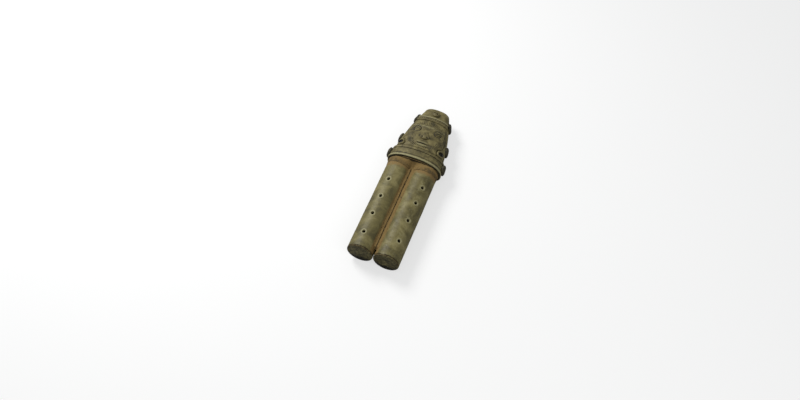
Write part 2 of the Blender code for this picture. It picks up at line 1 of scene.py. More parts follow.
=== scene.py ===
"""Looks of the double clay flute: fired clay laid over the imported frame.

The shapes are set out in the flute's own lines: y runs from the feet at 0 to the crown,
x to the right of the face and z out of it, with z = 0 on the axes of the pipes. Each
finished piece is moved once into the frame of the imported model. Sizes are in metres.
"""

import logging
import math
from bisect import bisect_left
from dataclasses import dataclass, field
from enum import Enum
from typing import Callable, Dict, List, Optional, Sequence, Tuple, Union

import bmesh
import bpy
from mathutils import Matrix, Vector, noise


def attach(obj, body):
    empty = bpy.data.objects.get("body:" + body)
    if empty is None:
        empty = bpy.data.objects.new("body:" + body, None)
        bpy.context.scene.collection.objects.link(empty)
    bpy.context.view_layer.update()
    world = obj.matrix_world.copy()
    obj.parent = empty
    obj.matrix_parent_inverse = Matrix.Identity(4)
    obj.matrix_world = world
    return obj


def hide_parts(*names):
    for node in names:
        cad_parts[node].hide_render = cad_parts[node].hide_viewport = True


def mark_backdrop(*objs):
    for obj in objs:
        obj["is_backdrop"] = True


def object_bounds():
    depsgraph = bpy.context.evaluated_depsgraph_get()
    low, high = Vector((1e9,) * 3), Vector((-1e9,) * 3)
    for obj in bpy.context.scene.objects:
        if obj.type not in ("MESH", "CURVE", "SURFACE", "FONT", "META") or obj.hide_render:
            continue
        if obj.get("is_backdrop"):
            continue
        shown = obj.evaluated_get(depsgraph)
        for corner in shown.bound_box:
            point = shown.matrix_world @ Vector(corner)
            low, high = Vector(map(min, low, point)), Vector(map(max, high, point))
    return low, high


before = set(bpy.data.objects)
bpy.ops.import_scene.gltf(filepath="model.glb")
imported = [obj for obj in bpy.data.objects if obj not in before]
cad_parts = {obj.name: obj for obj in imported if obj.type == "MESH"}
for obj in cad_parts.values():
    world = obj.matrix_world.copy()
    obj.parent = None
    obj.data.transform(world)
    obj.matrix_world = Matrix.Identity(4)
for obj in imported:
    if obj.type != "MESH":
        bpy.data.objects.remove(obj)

LOG = logging.getLogger("double_clay_flute")

SHIFT = Vector((0.0, -0.1050, 0.0148))
MERGE_DISTANCE = 0.000001
SHARP_ANGLE = 38.0
JOINT_GAP = 0.0003

# Places and sizes on the head that several pieces share
HEAD_WALL = 0.0038
BROW_PLACE = 0.1762
EYE_ACROSS = 0.0119
EYE_PLACE = 0.1706
NOSE_PLACE = 0.1622
MOUTH_PLACE = 0.1488
LUG_PLACE = 0.2002
EAR_ACROSS = 0.0244
EAR_PLACE = 0.1474
EAR_RADIUS = 0.0047
PELLET_RADIUS = 0.0062

WHITE = (1.0, 1.0, 1.0, 1.0)

Mapping = Callable[[float, float, float], Vector]
Tones = Tuple[float, float, float]
ToneRule = Callable[[Vector], Tones]
Operand = Union[float, bpy.types.NodeSocket]


class Side(Enum):
    """A side of the flute, for someone who looks at the face."""

    LEFT = -1
    RIGHT = 1

    @property
    def word(self) -> str:
        """Return the side's word in the names of pieces."""
        return self.name.lower()


def lumps(point: Vector, size: float, seed: float = 0.0) -> float:
    """Return smooth noise.

    Args:
        point: where the noise is taken.
        size: about how large one lump is.
        seed: moves the pattern elsewhere.

    Returns:
        A height from 0 to 1.
    """
    value = noise.noise(point / size + Vector((seed, seed * 1.7, seed * 2.3)))
    return min(max(0.5 + 0.5 * value, 0.0), 1.0)


def fade(value: float, start: float, end: float) -> float:
    """Return a soft step.

    Args:
        value: the place on the step.
        start: where the step is 0.
        end: where the step is 1, on either side of start.

    Returns:
        A share from 0 to 1.
    """
    share = min(max((value - start) / (end - start), 0.0), 1.0)
    return share * share * (3.0 - 2.0 * share)


def rounded(distance: float, radius: float) -> float:
    """Return the height of a rounded edge.

    Args:
        distance: how far in from the edge.
        radius: radius of the rounding.

    Returns:
        0 at the edge and 1 from one radius in.
    """
    share = min(max(distance / radius, 0.0), 1.0)
    return math.sqrt(1.0 - (1.0 - share) ** 2)


def groove(distance: float, width: float) -> float:
    """Return the depth of a pressed line.

    Args:
        distance: how far from the line's middle.
        width: width of the line.

    Returns:
        1 in the middle of the line and 0 outside it.
    """
    share = min(abs(distance) / (width / 2.0), 1.0)
    return (1.0 - share ** 2) ** 2


def mound(distance: float, size: float) -> float:
    """Return the height of a soft mound.

    Args:
        distance: how far from its middle.
        size: where the mound has fallen to about a third.

    Returns:
        1 in the middle, falling to 0.
    """
    return math.exp(-((distance / size) ** 2))


@dataclass
class HeadSurface:
    """The outside of the head, as a section that draws in from the base to the crown."""

    base: float = 0.1253
    crown: float = 0.2100
    half_widths: Tuple[float, float] = (0.0304, 0.0144)
    face_depths: Tuple[float, float] = (0.0170, 0.0087)
    back_depths: Tuple[float, float] = (0.0146, 0.0087)
    power: float = 1.9
    front_roundness: float = 2.2
    back_roundness: float = 3.2
    tables: Dict[float, List[float]] = field(default_factory=dict)

    def taper(self, sizes: Tuple[float, float], y: float) -> float:
        """Return a size at y.

        Args:
            sizes: the size at the base and at the crown.
            y: distance from the feet.

        Returns:
            The size there.
        """
        run = min(max((y - self.base) / (self.crown - self.base), 0.0), 1.0)
        return sizes[1] + (sizes[0] - sizes[1]) * (1.0 - run ** self.power)

    def section(self, y: float, behind: bool) -> Tuple[float, float, float]:
        """Return half width, depth and roundness of the section.

        Args:
            y: distance from the feet.
            behind: whether the back half is meant.

        Returns:
            The three values.
        """
        half_width = self.taper(self.half_widths, y)
        if behind:
            return half_width, self.taper(self.back_depths, y), self.back_roundness
        return half_width, self.taper(self.face_depths, y), self.front_roundness

    def point(self, angle: float, y: float, swell: float = 0.0) -> Vector:
        """Return a point of the section.

        Args:
            angle: angle from the front centre towards the right.
            y: distance from the feet.
            swell: how much larger than the head the section is.

        Returns:
            The point.
        """
        across = math.sin(angle)
        forward = math.cos(angle)
        half_width, depth, roundness = self.section(y, forward < 0.0)
        x = math.copysign(abs(across) ** (2.0 / roundness), across) * (half_width + swell)
        z = math.copysign(abs(forward) ** (2.0 / roundness), forward) * (depth + swell)
        return Vector((x, y, z))

    def normal(self, point: Vector) -> Vector:
        """Return the direction out of the head.

        Args:
            point: a point of the surface.

        Returns:
            The direction, of length 1.
        """
        step = 0.0001
        half_width, depth, roundness = self.section(point.y, point.z < 0.0)
        wider, deeper, _ = self.section(point.y + step, point.z < 0.0)
        x_share = min(abs(point.x) / half_width, 1.0)
        z_share = min(abs(point.z) / depth, 1.0)
        draw_in = x_share ** roundness * (half_width - wider) / half_width
        draw_in += z_share ** roundness * (depth - deeper) / depth
        return Vector((
            math.copysign(x_share ** (roundness - 1.0) / half_width, point.x),
            draw_in / step,
            math.copysign(z_share ** (roundness - 1.0) / depth, point.z),
        )).normalized()

    def girths(self, y: float) -> List[float]:
        """Return the distance round the section to each whole degree.

        Args:
            y: distance from the feet.

        Returns:
            181 distances from the front centre.
        """
        if y not in self.tables:
            points = [self.point(math.radians(degree), y) for degree in range(181)]
            distances = [0.0]
            for first, second in zip(points, points[1:]):
                distances.append(distances[-1] + (second - first).length)
            self.tables[y] = distances
        return self.tables[y]

    def angle(self, across: float, y: float) -> float:
        """Return the section angle at a distance round.

        Args:
            across: distance round from the front centre.
            y: distance from the feet.

        Returns:
            The angle in radians.
        """
        distances = self.girths(y)
        reach = min(abs(across), distances[-1])
        index = min(max(bisect_left(distances, reach), 1), 180)
        share = (reach - distances[index - 1]) / (distances[index] - distances[index - 1])
        return math.copysign(math.radians(index - 1 + share), across)

    def lay(self, across: float, y: float, lift: float) -> Vector:
        """Return a point above the head.

        Args:
            across: distance round from the front centre.
            y: distance from the feet.
            lift: distance off the surface.

        Returns:
            The point.
        """
        point = self.point(self.angle(across, y), y)
        return point + self.normal(point) * lift

    def across(self, point: Vector) -> float:
        """Return how far round a point lies.

        Args:
            point: a point on or near the head.

        Returns:
            Its distance round from the front centre.
        """
        half_width, depth, roundness = self.section(point.y, point.z < 0.0)
        side = (abs(point.x) / half_width) ** (roundness / 2.0)
        forward = math.copysign((abs(point.z) / depth) ** (roundness / 2.0), point.z)
        degrees = math.degrees(math.atan2(side, forward))
        index = min(int(degrees), 179)
        distances = self.girths(round(point.y, 4))
        reach = distances[index] + (distances[index + 1] - distances[index]) * (degrees - index)
        return math.copysign(reach, point.x)

    def side(self, y: float) -> float:
        """Return the distance from the front centre to the side line.

        Args:
            y: distance from the feet.

        Returns:
            The distance round.
        """
        return self.girths(y)[90]


HEAD = HeadSurface()


def linear(code: str) -> Tuple[float, float, float, float]:
    """Turn an sRGB hex code into a linear colour.

    Args:
        code: a code such as #a0b0c0.

    Returns:
        Red, green, blue and alpha.
    """
    channels = [int(code[place:place + 2], 16) / 255.0 for place in (1, 3, 5)]
    values = [c / 12.92 if c <= 0.04045 else ((c + 0.055) / 1.055) ** 2.4 for c in channels]
    return values[0], values[1], values[2], 1.0


def add_node(
    tree: bpy.types.NodeTree, kind: str, sockets: Optional[dict] = None, **settings: object
) -> bpy.types.Node:
    """Add a node and wire it up.

    Args:
        tree: the node tree.
        kind: the node's type.
        sockets: a value or an output for each input, by name or number.
        settings: the node's own settings.

    Returns:
        The node.
    """
    node = tree.nodes.new(kind)
    for key, value in settings.items():
        setattr(node, key, value)
    for key, value in (sockets or {}).items():
        if isinstance(value, bpy.types.NodeSocket):
            tree.links.new(value, node.inputs[key])
        else:
            node.inputs[key].default_value = value
    return node


def calculate(
    tree: bpy.types.NodeTree, operation: str, *values: Operand, clamp: bool = False
) -> bpy.types.NodeSocket:
    """Add a math node.

    Args:
        tree: the node tree.
        operation: what it does.
        values: a number or an output for each input.
        clamp: whether the result is kept between 0 and 1.

    Returns:
        The output with the result.
    """
    sockets = dict(enumerate(values))
    return add_node(tree, "ShaderNodeMath", sockets, operation=operation, use_clamp=clamp).outputs[0]


def remap(
    tree: bpy.types.NodeTree, value: bpy.types.NodeSocket, low: float, high: float, first: float, last: float
) -> bpy.types.NodeSocket:
    """Add a node that turns one range into another.

    Args:
        tree: the node tree.
        value: the output to turn.
        low: start of its range.
        high: end of its range.
        first: result at the start.
        last: result at the end.

    Returns:
        The output with the result.
    """
    return add_node(tree, "ShaderNodeMapRange", {0: value, 1: low, 2: high, 3: first, 4: last}).outputs[0]


@dataclass(frozen=True)
class FiredClay:
    """A finish of fired clay, patterned on the piece's own coordinates.

    Earth, the darkening (mostly painted shade) and the lightening (mostly painted highlight) are laid where
    the piece's three attributes say.
    """

    name: str
    light: str
    middle: str
    dark: str
    earth: str = "#78623a"
    # Colour of smoke stains and grit, also used for painted shade in grooves, hollows, gaps, under overhangs
    # and on the back
    soot_and_shade: str = "#16130a"
    # Colour of burnish streaks, also used for painted highlight on rims, crests and lit sides
    wear_and_highlight: str = "#8c8662"
    roughness: Tuple[float, float] = (0.42, 0.68)
    mottle_mm: float = 11.0
    grain_mm: float = 0.45
    grit_mm: float = 1.9
    streaks: float = 0.25
    bump: float = 0.35

    def shade(
        self, tree: bpy.types.NodeTree, base: bpy.types.NodeSocket, mask: bpy.types.NodeSocket, colour: str
    ) -> bpy.types.NodeSocket:
        """Mix a colour over another.

        Args:
            tree: the node tree.
            base: output with the colour beneath.
            mask: output with the share of the new colour.
            colour: hex code of the new colour.

        Returns:
            The output with the mixed colour.
        """
        mix = add_node(tree, "ShaderNodeMix", {0: mask, 6: base, 7: linear(colour)}, data_type="RGBA")
        return mix.outputs[2]

    def patch(
        self, tree: bpy.types.NodeTree, attribute: str, texture: bpy.types.NodeSocket, gain: float
    ) -> bpy.types.NodeSocket:
        """Return a ragged mask from an attribute and a texture.

        Args:
            tree: the node tree.
            attribute: name of the attribute.
            texture: output that breaks the mask up.
            gain: how hard the edge of the mask is.

        Returns:
            The output with the mask.
        """
        amount = add_node(tree, "ShaderNodeAttribute", attribute_name=attribute).outputs["Fac"]
        lifted = calculate(tree, "MULTIPLY_ADD", amount, 1.9 * gain, -1.05 * gain)
        return calculate(tree, "MULTIPLY_ADD", texture, gain, lifted, clamp=True)

    def texture(
        self,
        tree: bpy.types.NodeTree,
        coordinates: bpy.types.NodeSocket,
        size_mm: float,
        detail: float,
        distortion: float = 0.0,
    ) -> bpy.types.NodeSocket:
        """Return noise with lumps of a real size.

        Args:
            tree: the node tree.
            coordinates: output with the coordinates.
            size_mm: size of a lump in millimetres.
            detail: how many finer layers it has.
            distortion: how much the lumps are stirred.

        Returns:
            The output with the noise.
        """
        sockets = {
            "Vector": coordinates,
            "Scale": 1000.0 / size_mm,
            "Detail": detail,
            "Roughness": 0.6,
            "Distortion": distortion,
        }
        return add_node(tree, "ShaderNodeTexNoise", sockets).outputs["Fac"]

    def build(self) -> bpy.types.Material:
        """Make the material.

        Returns:
            The material.
        """
        material = bpy.data.materials.new(self.name)
        material.use_nodes = True
        tree = material.node_tree
        shader = tree.nodes["Principled BSDF"]
        coordinates = add_node(tree, "ShaderNodeTexCoord").outputs["Object"]
        mottle = self.texture(tree, coordinates, self.mottle_mm, 5.0, 0.5)
        grain = self.texture(tree, coordinates, self.grain_mm, 3.0)
        ragged = self.texture(tree, coordinates, 2.6, 5.0, 0.3)
        ramp = add_node(tree, "ShaderNodeValToRGB", {0: mottle})
        ramp.color_ramp.elements[0].position = 0.34
        ramp.color_ramp.elements[0].color = linear(self.dark)
        ramp.color_ramp.elements[1].position = 0.68
        ramp.color_ramp.elements[1].color = linear(self.light)
        ramp.color_ramp.elements.new(0.5).color = linear(self.middle)
        colour = ramp.outputs[0]
        stretched = add_node(
            tree, "ShaderNodeMapping", {"Vector": coordinates, "Scale": (1.0, 0.06, 1.0)}
        ).outputs[0]
        streak = self.texture(tree, stretched, 0.9, 3.0)
        streak_mask = remap(tree, streak, 0.52, 0.78, 0.0, self.streaks)
        colour = self.shade(tree, colour, streak_mask, self.wear_and_highlight)
        grain_mask = remap(tree, grain, 0.35, 0.62, 0.34, 0.0)
        colour = self.shade(tree, colour, grain_mask, self.dark)
        grit = add_node(
            tree, "ShaderNodeTexVoronoi", {"Vector": coordinates, "Scale": 1000.0 / self.grit_mm}
        ).outputs["Distance"]
        grit_mask = remap(tree, grit, 0.10, 0.17, 0.75, 0.0)
        chosen = calculate(tree, "GREATER_THAN", ragged, 0.55)
        pits = calculate(tree, "MULTIPLY", grit_mask, chosen)
        colour = self.shade(tree, colour, pits, self.soot_and_shade)
        # Lightening by attribute: mostly painted highlight
        colour = self.shade(tree, colour, self.patch(tree, "wear_and_highlight", ragged, 2.2), self.wear_and_highlight)
        earth_mask = self.patch(tree, "earth", ragged, 3.2)
        colour = self.shade(tree, colour, earth_mask, self.earth)
        # Darkening by attribute: mostly painted shade
        colour = self.shade(tree, colour, self.patch(tree, "soot_and_shade", ragged, 2.4), self.soot_and_shade)
        tree.links.new(colour, shader.inputs["Base Color"])
        roughness = remap(tree, ragged, 0.3, 0.7, self.roughness[0], self.roughness[1])
        roughness = calculate(tree, "MULTIPLY_ADD", earth_mask, 0.3, roughness, clamp=True)
        tree.links.new(roughness, shader.inputs["Roughness"])
        relief = calculate(tree, "MULTIPLY_ADD", grain, 0.45, mottle)
        relief = calculate(tree, "MULTIPLY_ADD", pits, -0.6, relief)
        relief = calculate(tree, "MULTIPLY_ADD", ragged, 0.5, relief)
        bump = add_node(
            tree, "ShaderNodeBump", {"Strength": self.bump, "Distance": 0.00035, "Height": relief}
        ).outputs[0]
        tree.links.new(bump, shader.inputs["Normal"])
        shader.inputs["Specular IOR Level"].default_value = 0.32
        return material


class Finish(Enum):
    """The finishes of the flute."""

    # Rubbed with a pebble before a smoky fire: olive clouds with a soft sheen along the pipes
    BURNISHED = FiredClay(
        "pebble_burnished_smoke_fired_clay", "#867d52", "#696139", "#4c4628",
        mottle_mm=15.0, streaks=0.18,
    )
    # Smoothed with wet fingers: the same olive clay, duller and more broken
    SMOOTHED = FiredClay(
        "finger_smoothed_fired_clay", "#857b50", "#665d38", "#453f25",
        roughness=(0.5, 0.78), mottle_mm=8.0, streaks=0.1, bump=0.5,
    )
    # Strips and features added by hand, handled most: darker olive, with painted highlight on the high spots
    APPLIED = FiredClay(
        "applied_fired_clay", "#81774d", "#625936", "#423c23",
        roughness=(0.48, 0.76), mottle_mm=6.0, streaks=0.08, bump=0.55,
    )
    # Pellets pressed on last, painted near black brown for the shade they sit in, with painted highlight on
    # their tops
    SHADE_DARKENED = FiredClay(
        "pressed_clay_darkened_for_shade", "#4d4730", "#312c1b", "#1d190f",
        wear_and_highlight="#6d6849", roughness=(0.5, 0.8), mottle_mm=4.0, streaks=0.05, bump=0.6,
    )
    # Fill in the hollows with earth lodged on it: matt, crumbly ochre
    EARTHY = FiredClay(
        "earth_crusted_clay_fill", "#66573a", "#51442a", "#3a301d",
        roughness=(0.8, 0.98), mottle_mm=5.0, grain_mm=0.35, streaks=0.0, bump=0.9,
    )
    # Inside that nothing ever rubbed: rough brown
    ROUGH = FiredClay(
        "unburnished_fired_clay", "#5c4e31", "#43381f", "#2c2414",
        roughness=(0.82, 0.98), mottle_mm=6.0, streaks=0.0, bump=0.8,
    )


class Bench:
    """Makes pieces: shapes them, cuts them, dresses them and puts them into the frame."""

    def __init__(self, low: Vector, high: Vector) -> None:
        """Keep the box that every piece stays inside.

        Args:
            low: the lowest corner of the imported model.
            high: the highest corner.
        """
        self.low = low
        self.high = high
        self.materials: Dict[Finish, bpy.types.Material] = {}

    def material(self, finish: Finish) -> bpy.types.Material:
        """Return the material of a finish, made once.

        Args:
            finish: the finish.

        Returns:
            The material.
        """
        if finish not in self.materials:
            self.materials[finish] = finish.value.build()
        return self.materials[finish]

    @staticmethod
    def close(body: bmesh.types.BMesh) -> bmesh.types.BMesh:
        """Merge doubled corners and turn every face outwards.

        Args:
            body: the shape.

        Returns:
            The same shape.
        """
        bmesh.ops.remove_doubles(body, verts=body.verts[:], dist=MERGE_DISTANCE)
        bmesh.ops.recalc_face_normals(body, faces=body.faces[:])
        if body.calc_volume(signed=True) < 0.0:
            bmesh.ops.reverse_faces(body, faces=body.faces[:])
        return body

    @classmethod
    def slab(cls, columns: int, rows: int, shape: Mapping, wrapped: bool = False) -> bmesh.types.BMesh:
        """Make a closed slab and bend it.

        Args:
            columns: cells across.
            rows: cells along.
            shape: gives the place of each corner from its shares across, along and up.
            wrapped: whether the two sides meet, which leaves a sleeve.

        Returns:
            The shape.
        """
        body = bmesh.new()
        bmesh.ops.create_grid(body, x_segments=columns, y_segments=rows, size=0.5)
        bmesh.ops.translate(body, verts=body.verts[:], vec=(0.5, 0.5, 0.0))
        raised = bmesh.ops.extrude_face_region(body, geom=body.faces[:])
        tops = [item for item in raised["geom"] if isinstance(item, bmesh.types.BMVert)]
        bmesh.ops.translate(body, verts=tops, vec=(0.0, 0.0, 1.0))
        if wrapped:
            edge = 0.0001
            seams = []
            for face in body.faces:
                shares = [vert.co.x for vert in face.verts]
                if max(shares) < edge or min(shares) > 1.0 - edge:
                    seams.append(face)
            bmesh.ops.delete(body, geom=seams, context="FACES")
        for vert in body.verts:
            vert.co = shape(*vert.co)
        return cls.close(body)

    @classmethod
    def skin(cls, columns: int, rows: int, shape: Mapping) -> bmesh.types.BMesh:
        """Make a closed body from one sheet whose sides and ends meet.

        Args:
            columns: cells round.
            rows: cells along.
            shape: gives the place of each corner from its shares round and along.

        Returns:
            The shape.
        """
        body = bmesh.new()
        bmesh.ops.create_grid(body, x_segments=columns, y_segments=rows, size=0.5)
        for vert in body.verts:
            vert.co = shape(vert.co.x + 0.5, vert.co.y + 0.5, 0.0)
        return cls.close(body)

    @classmethod
    def pressed_ball(cls, shape: Mapping, around: int = 56, over: int = 36) -> bmesh.types.BMesh:
        """Make a ball of clay pressed flat and bend it.

        Args:
            shape: gives the place of each corner from its shares across, along and up.
            around: segments round the ball.
            over: segments from its underside to its top.

        Returns:
            The shape.
        """
        body = bmesh.new()
        bmesh.ops.create_uvsphere(body, u_segments=around, v_segments=over, radius=1.0)
        for vert in body.verts:
            height = max(vert.co.z, 0.0) ** 0.7
            vert.co = shape(vert.co.x, vert.co.y, height)
        return cls.close(body)

    @staticmethod
    def cut(body: bmesh.types.BMesh, cutters: Sequence[bmesh.types.BMesh]) -> bmesh.types.BMesh:
        """Cut closed bodies out of a shape.

        Args:
            body: the shape.
            cutters: bodies that don't touch each other.

        Returns:
            The shape that is left.
        """
        target = bpy.data.meshes.new("blank")
        body.to_mesh(target)
        body.free()
        joined = bmesh.new()
        tool = bpy.data.meshes.new("cutter")
        for cutter in cutters:
            cutter.to_mesh(tool)
            joined.from_mesh(tool)
            cutter.free()
        joined.to_mesh(tool)
        joined.free()
        items = [bpy.data.objects.new("blank", target), bpy.data.objects.new("cutter", tool)]
        for item in items:
            bpy.context.scene.collection.objects.link(item)
        modifier = items[0].modifiers.new("cut", "BOOLEAN")
        modifier.operation = "DIFFERENCE"
        modifier.solver = "EXACT"
        modifier.object = items[1]
        bpy.context.view_layer.update()
        evaluated = items[0].evaluated_get(bpy.context.evaluated_depsgraph_get())
        left = bmesh.new()
        left.from_mesh(evaluated.to_mesh())
        evaluated.to_mesh_clear()
        for item in items:
            bpy.data.objects.remove(item, do_unlink=True)
        bpy.data.meshes.remove(target)
        bpy.data.meshes.remove(tool)
        return left

    def add(
        self,
        name: str,
        body: bmesh.types.BMesh,
        finish: Finish,
        slot: str,
        nodes: Sequence[str],
        tones: Optional[ToneRule] = None,
    ) -> bpy.types.Object:
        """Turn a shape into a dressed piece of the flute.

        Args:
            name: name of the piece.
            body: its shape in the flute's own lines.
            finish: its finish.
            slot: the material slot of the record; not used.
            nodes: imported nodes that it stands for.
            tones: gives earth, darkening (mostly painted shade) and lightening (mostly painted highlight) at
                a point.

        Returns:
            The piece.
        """
        amounts = [tones(vert.co) if tones else (0.0, 0.0, 0.0) for vert in body.verts]
        for vert in body.verts:
            moved = vert.co + SHIFT
            vert.co = [min(max(moved[i], self.low[i]), self.high[i]) for i in range(3)]
        mesh = bpy.data.meshes.new(name)
        body.to_mesh(mesh)
        body.free()
        for index, label in enumerate(("earth", "soot_and_shade", "wear_and_highlight")):
            attribute = mesh.attributes.new(label, "FLOAT", "POINT")
            attribute.data.foreach_set("value", [amount[index] for amount in amounts])
        mesh.shade_smooth()
        mesh.set_sharp_from_angle(angle=math.radians(SHARP_ANGLE))
        mesh.materials.append(self.material(finish))
        piece = bpy.data.objects.new(name, mesh)
        bpy.context.scene.collection.objects.link(piece)
        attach(piece, "root")
        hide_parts(*nodes)
        LOG.info("%s: %d faces", name, len(mesh.polygons))
        return piece


def profile_point(profile: Sequence[Tuple[float, float]], share: float) -> Tuple[float, float]:
    """Return a point along a profile.

    Args:
        profile: its corners.
        share: how far along it, by length.

    Returns:
        The two values there.
    """
    lengths = [math.dist(first, second) for first, second in zip(profile, profile[1:])]
    reach = share * sum(lengths)
    for (first, second), length in zip(zip(profile, profile[1:]), lengths):
        if reach <= length:
            part = reach / length
            return (
                first[0] + (second[0] - first[0]) * part,
                first[1] + (second[1] - first[1]) * part,
            )
        reach -= length
    return profile[-1]


@dataclass
class Pipes:
    """The two pipes with their finger holes, windows, foot discs and the fill between them."""

    bench: Bench
    radius: float = 0.0148
    wall: float = 0.0042
    end: float = 0.1250
    cap: float = 0.0014
    hole_radius: float = 0.0018
    left_holes: Tuple[float, ...] = (0.0194, 0.0443, 0.0681, 0.0923)
    right_holes: Tuple[float, ...] = (0.0232, 0.0504, 0.0745, 0.0958)
    left_lean: float = 12.7
    right_lean: float = 24.0
    neck: float = 0.1175
    window_width: float = 0.0085
    window_length: float = 0.0055
    ramp_length: float = 0.0080

    @property
    def offset(self) -> float:
        """Return how far each pipe's axis is from the middle."""
        return self.radius + JOINT_GAP / 2.0

    @property
    def bore(self) -> float:
        """Return the radius of the bore."""
        return self.radius - self.wall

    def hole_axes(self, side: Side) -> List[Tuple[Vector, Vector]]:
        """Return the finger holes of a pipe.

        Args:
            side: the pipe.

        Returns:
            A point on the pipe's axis and a direction out of it for each hole.
        """
        places = self.left_holes if side is Side.LEFT else self.right_holes
        lean = math.radians(self.left_lean if side is Side.LEFT else self.right_lean)
        direction = Vector((side.value * math.sin(lean), 0.0, math.cos(lean)))
        return [(Vector((side.value * self.offset, place, 0.0)), direction) for place in places]

    def hole_distance(self, point: Vector, side: Side) -> float:
        """Return how far a point is from the nearest hole's axis, on the front.

        Args:
            point: the point.
            side: the pipe.

        Returns:
            The distance.
        """
        nearest = 1.0
        for start, direction in self.hole_axes(side):
            arm = point - start
            along = arm.dot(direction)
            if along > 0.0:
                nearest = min(nearest, (arm - direction * along).length)
        return nearest

    def punch(self, start: Vector, direction: Vector, seed: float) -> bmesh.types.BMesh:
        """Return the punch of one finger hole.

        Args:
            start: a point on the pipe's axis.
            direction: direction of the hole.
            seed: turns its slightly uneven outline.

        Returns:
            The cutting body.
        """
        past = 0.002
        chamfer = 0.0007
        flare = 0.0022
        low = self.bore - past
        high = self.radius + past
        heights = (low, low, self.radius - chamfer, high, high)
        radii = (0.0, self.hole_radius, self.hole_radius, self.hole_radius + flare, 0.0)
        turn = direction.to_track_quat("Z", "Y")

        def ring(u: float, v: float, _: float) -> Vector:
            """Place a corner of the shape.

            Args:
                u: share across or round.
                v: share along.

            Returns:
                Its place.
            """
            row = round(v * 4)
            angle = u * math.tau
            wobble = 1.0 + 0.05 * math.sin(2.0 * angle + seed)
            wobble += 0.03 * math.sin(3.0 * angle + 2.0 * seed)
            reach = radii[row] * wobble
            return start + turn @ Vector((reach * math.cos(angle), reach * math.sin(angle), heights[row]))

        return Bench.skin(40, 4, ring)

    def cutters(self, side: Side) -> List[bmesh.types.BMesh]:
        """Return the punches for the finger holes and the window.

        Args:
            side: the pipe.

        Returns:
            The cutting bodies, the window's ramp last.
        """
        bodies = []
        for number, (start, direction) in enumerate(self.hole_axes(side)):
            bodies.append(self.punch(start, direction, number + side.value * 7.0))
        x = side.value * self.offset
        half = self.window_width / 2.0
        edge = self.neck - self.window_length
        below = -0.0170
        slot_height = 0.0085
        lip = 0.0006

        def slot(u: float, v: float, w: float) -> Vector:
            """Place a corner of the shape.

            Args:
                u: share across or round.
                v: share along.
                w: share up.

            Returns:
                Its place.
            """
            across = x + half * (2.0 * u - 1.0)
            return Vector((across, edge + self.window_length * v, below + slot_height * w))

        def ramp(u: float, v: float, w: float) -> Vector:
            """Place a corner of the shape.

            Args:
                u: share across or round.
                v: share along.
                w: share up.

            Returns:
                Its place.
            """
            across = x + half * (2.0 * u - 1.0)
            inner = -self.radius + (self.wall - lip) * v
            return Vector((across, edge - self.ramp_length * (1.0 - v), below + (inner - below) * w))

        return bodies + [Bench.slab(2, 2, slot), Bench.slab(2, 2, ramp)]

    def pipe(self, side: Side) -> None:
        """Build and dress one pipe.

        Args:
            side: the pipe.
        """
        x = side.value * self.offset
        start = self.cap + JOINT_GAP
        seed = 3.0 + side.value

        def wall(u: float, v: float, w: float) -> Vector:
            """Place a corner of the shape.

            Args:
                u: share across or round.
                v: share along.
                w: share up.

            Returns:
                Its place.
            """
            angle = u * math.tau
            direction = Vector((math.sin(angle), 0.0, math.cos(angle)))
            crack = 0.0005 * fade(direction.z, 0.1, 0.6) * lumps(direction * 0.01, 0.0022, seed)
            y = start + crack + (self.end - start - crack) * v
            point = Vector((x, y, 0.0)) + direction * self.radius
            if w < 0.5:
                return Vector((x, y, 0.0)) + direction * self.bore
            strokes = Vector((point.x, point.y * 0.08, point.z))
            sink = 0.00026 * lumps(point, 0.016, seed) + 0.00008 * lumps(strokes, 0.0022, seed)
            sink += 0.00005 * lumps(point, 0.0016, seed)
            rim = self.hole_distance(point, side)
            sink -= 0.00022 * mound(rim - 0.0033, 0.0008) * fade(direction.z, -0.2, 0.1)
            sink = max(sink, 0.0)
            return Vector((x, y, 0.0)) + direction * (self.radius - sink)

        def tones(point: Vector) -> Tones:
            """Return how much of each dressing a point has.

            Args:
                point: a point of the piece.

            Returns:
                Its earth, its darkening (painted shade in the bore and on the back, darker towards the foot
                end) and its painted highlight.
            """
            reach = math.hypot(point.x - x, point.z)
            inside = fade(reach, self.radius - 0.0009, self.radius - 0.0022)
            rim = self.hole_distance(point, side)
            valley = fade(abs(point.x), 0.0075, 0.0018) * fade(point.z, 0.001, 0.006)
            earth = max(0.62 * valley, 0.55 * fade(point.y, 0.104, 0.1185) * fade(point.z, 0.0, 0.005))
            foot = 0.38 * fade(point.y, 0.007, 0.0015)
            # Darker towards the foot end; painted shade inside the bore and on the back, away from the lamps
            soot_and_shade = max(inside, foot, 0.34 * fade(point.z, 0.004, -0.008))
            # Painted highlight in a ring round each finger hole
            wear_and_highlight = 0.5 * fade(rim, 0.0044, 0.0030)
            # Painted highlight along the upper outer flank of each pipe
            flank_highlight = 0.30 * fade(point.z, 0.006, 0.0135)
            flank_highlight *= fade(-point.x * side.value, -0.012, -0.017)
            wear_and_highlight = max(wear_and_highlight, flank_highlight)
            return earth, soot_and_shade, wear_and_highlight

        body = Bench.slab(112, 220, wall, wrapped=True)
        holes = self.cutters(side)
        body = Bench.cut(body, holes[:-1])
        body = Bench.cut(body, holes[-1:])
        self.bench.add(
            f"{side.word}_pipe", body, Finish.BURNISHED, "pipe_clay", [f"{side.word}_tube"], tones
        )

    def foot(self, side: Side) -> None:
        """Build and dress one foot disc.

        Args:
            side: the pipe that it closes.
        """
        x = side.value * self.offset
        edge = 0.0010
        seam = 0.0116
        rim = []
        for step in range(7):
            angle = math.radians(15.0 * step)
            rim.append((self.radius - edge + edge * math.sin(angle), edge * (1.0 - math.cos(angle))))
        inner = self.bore - JOINT_GAP
        plug = self.cap + 0.0045
        profile = [(0.0, 0.0)] + rim
        profile += [(self.radius, self.cap), (inner, self.cap), (inner, plug), (0.0, plug)]
        seed = 11.0 + side.value

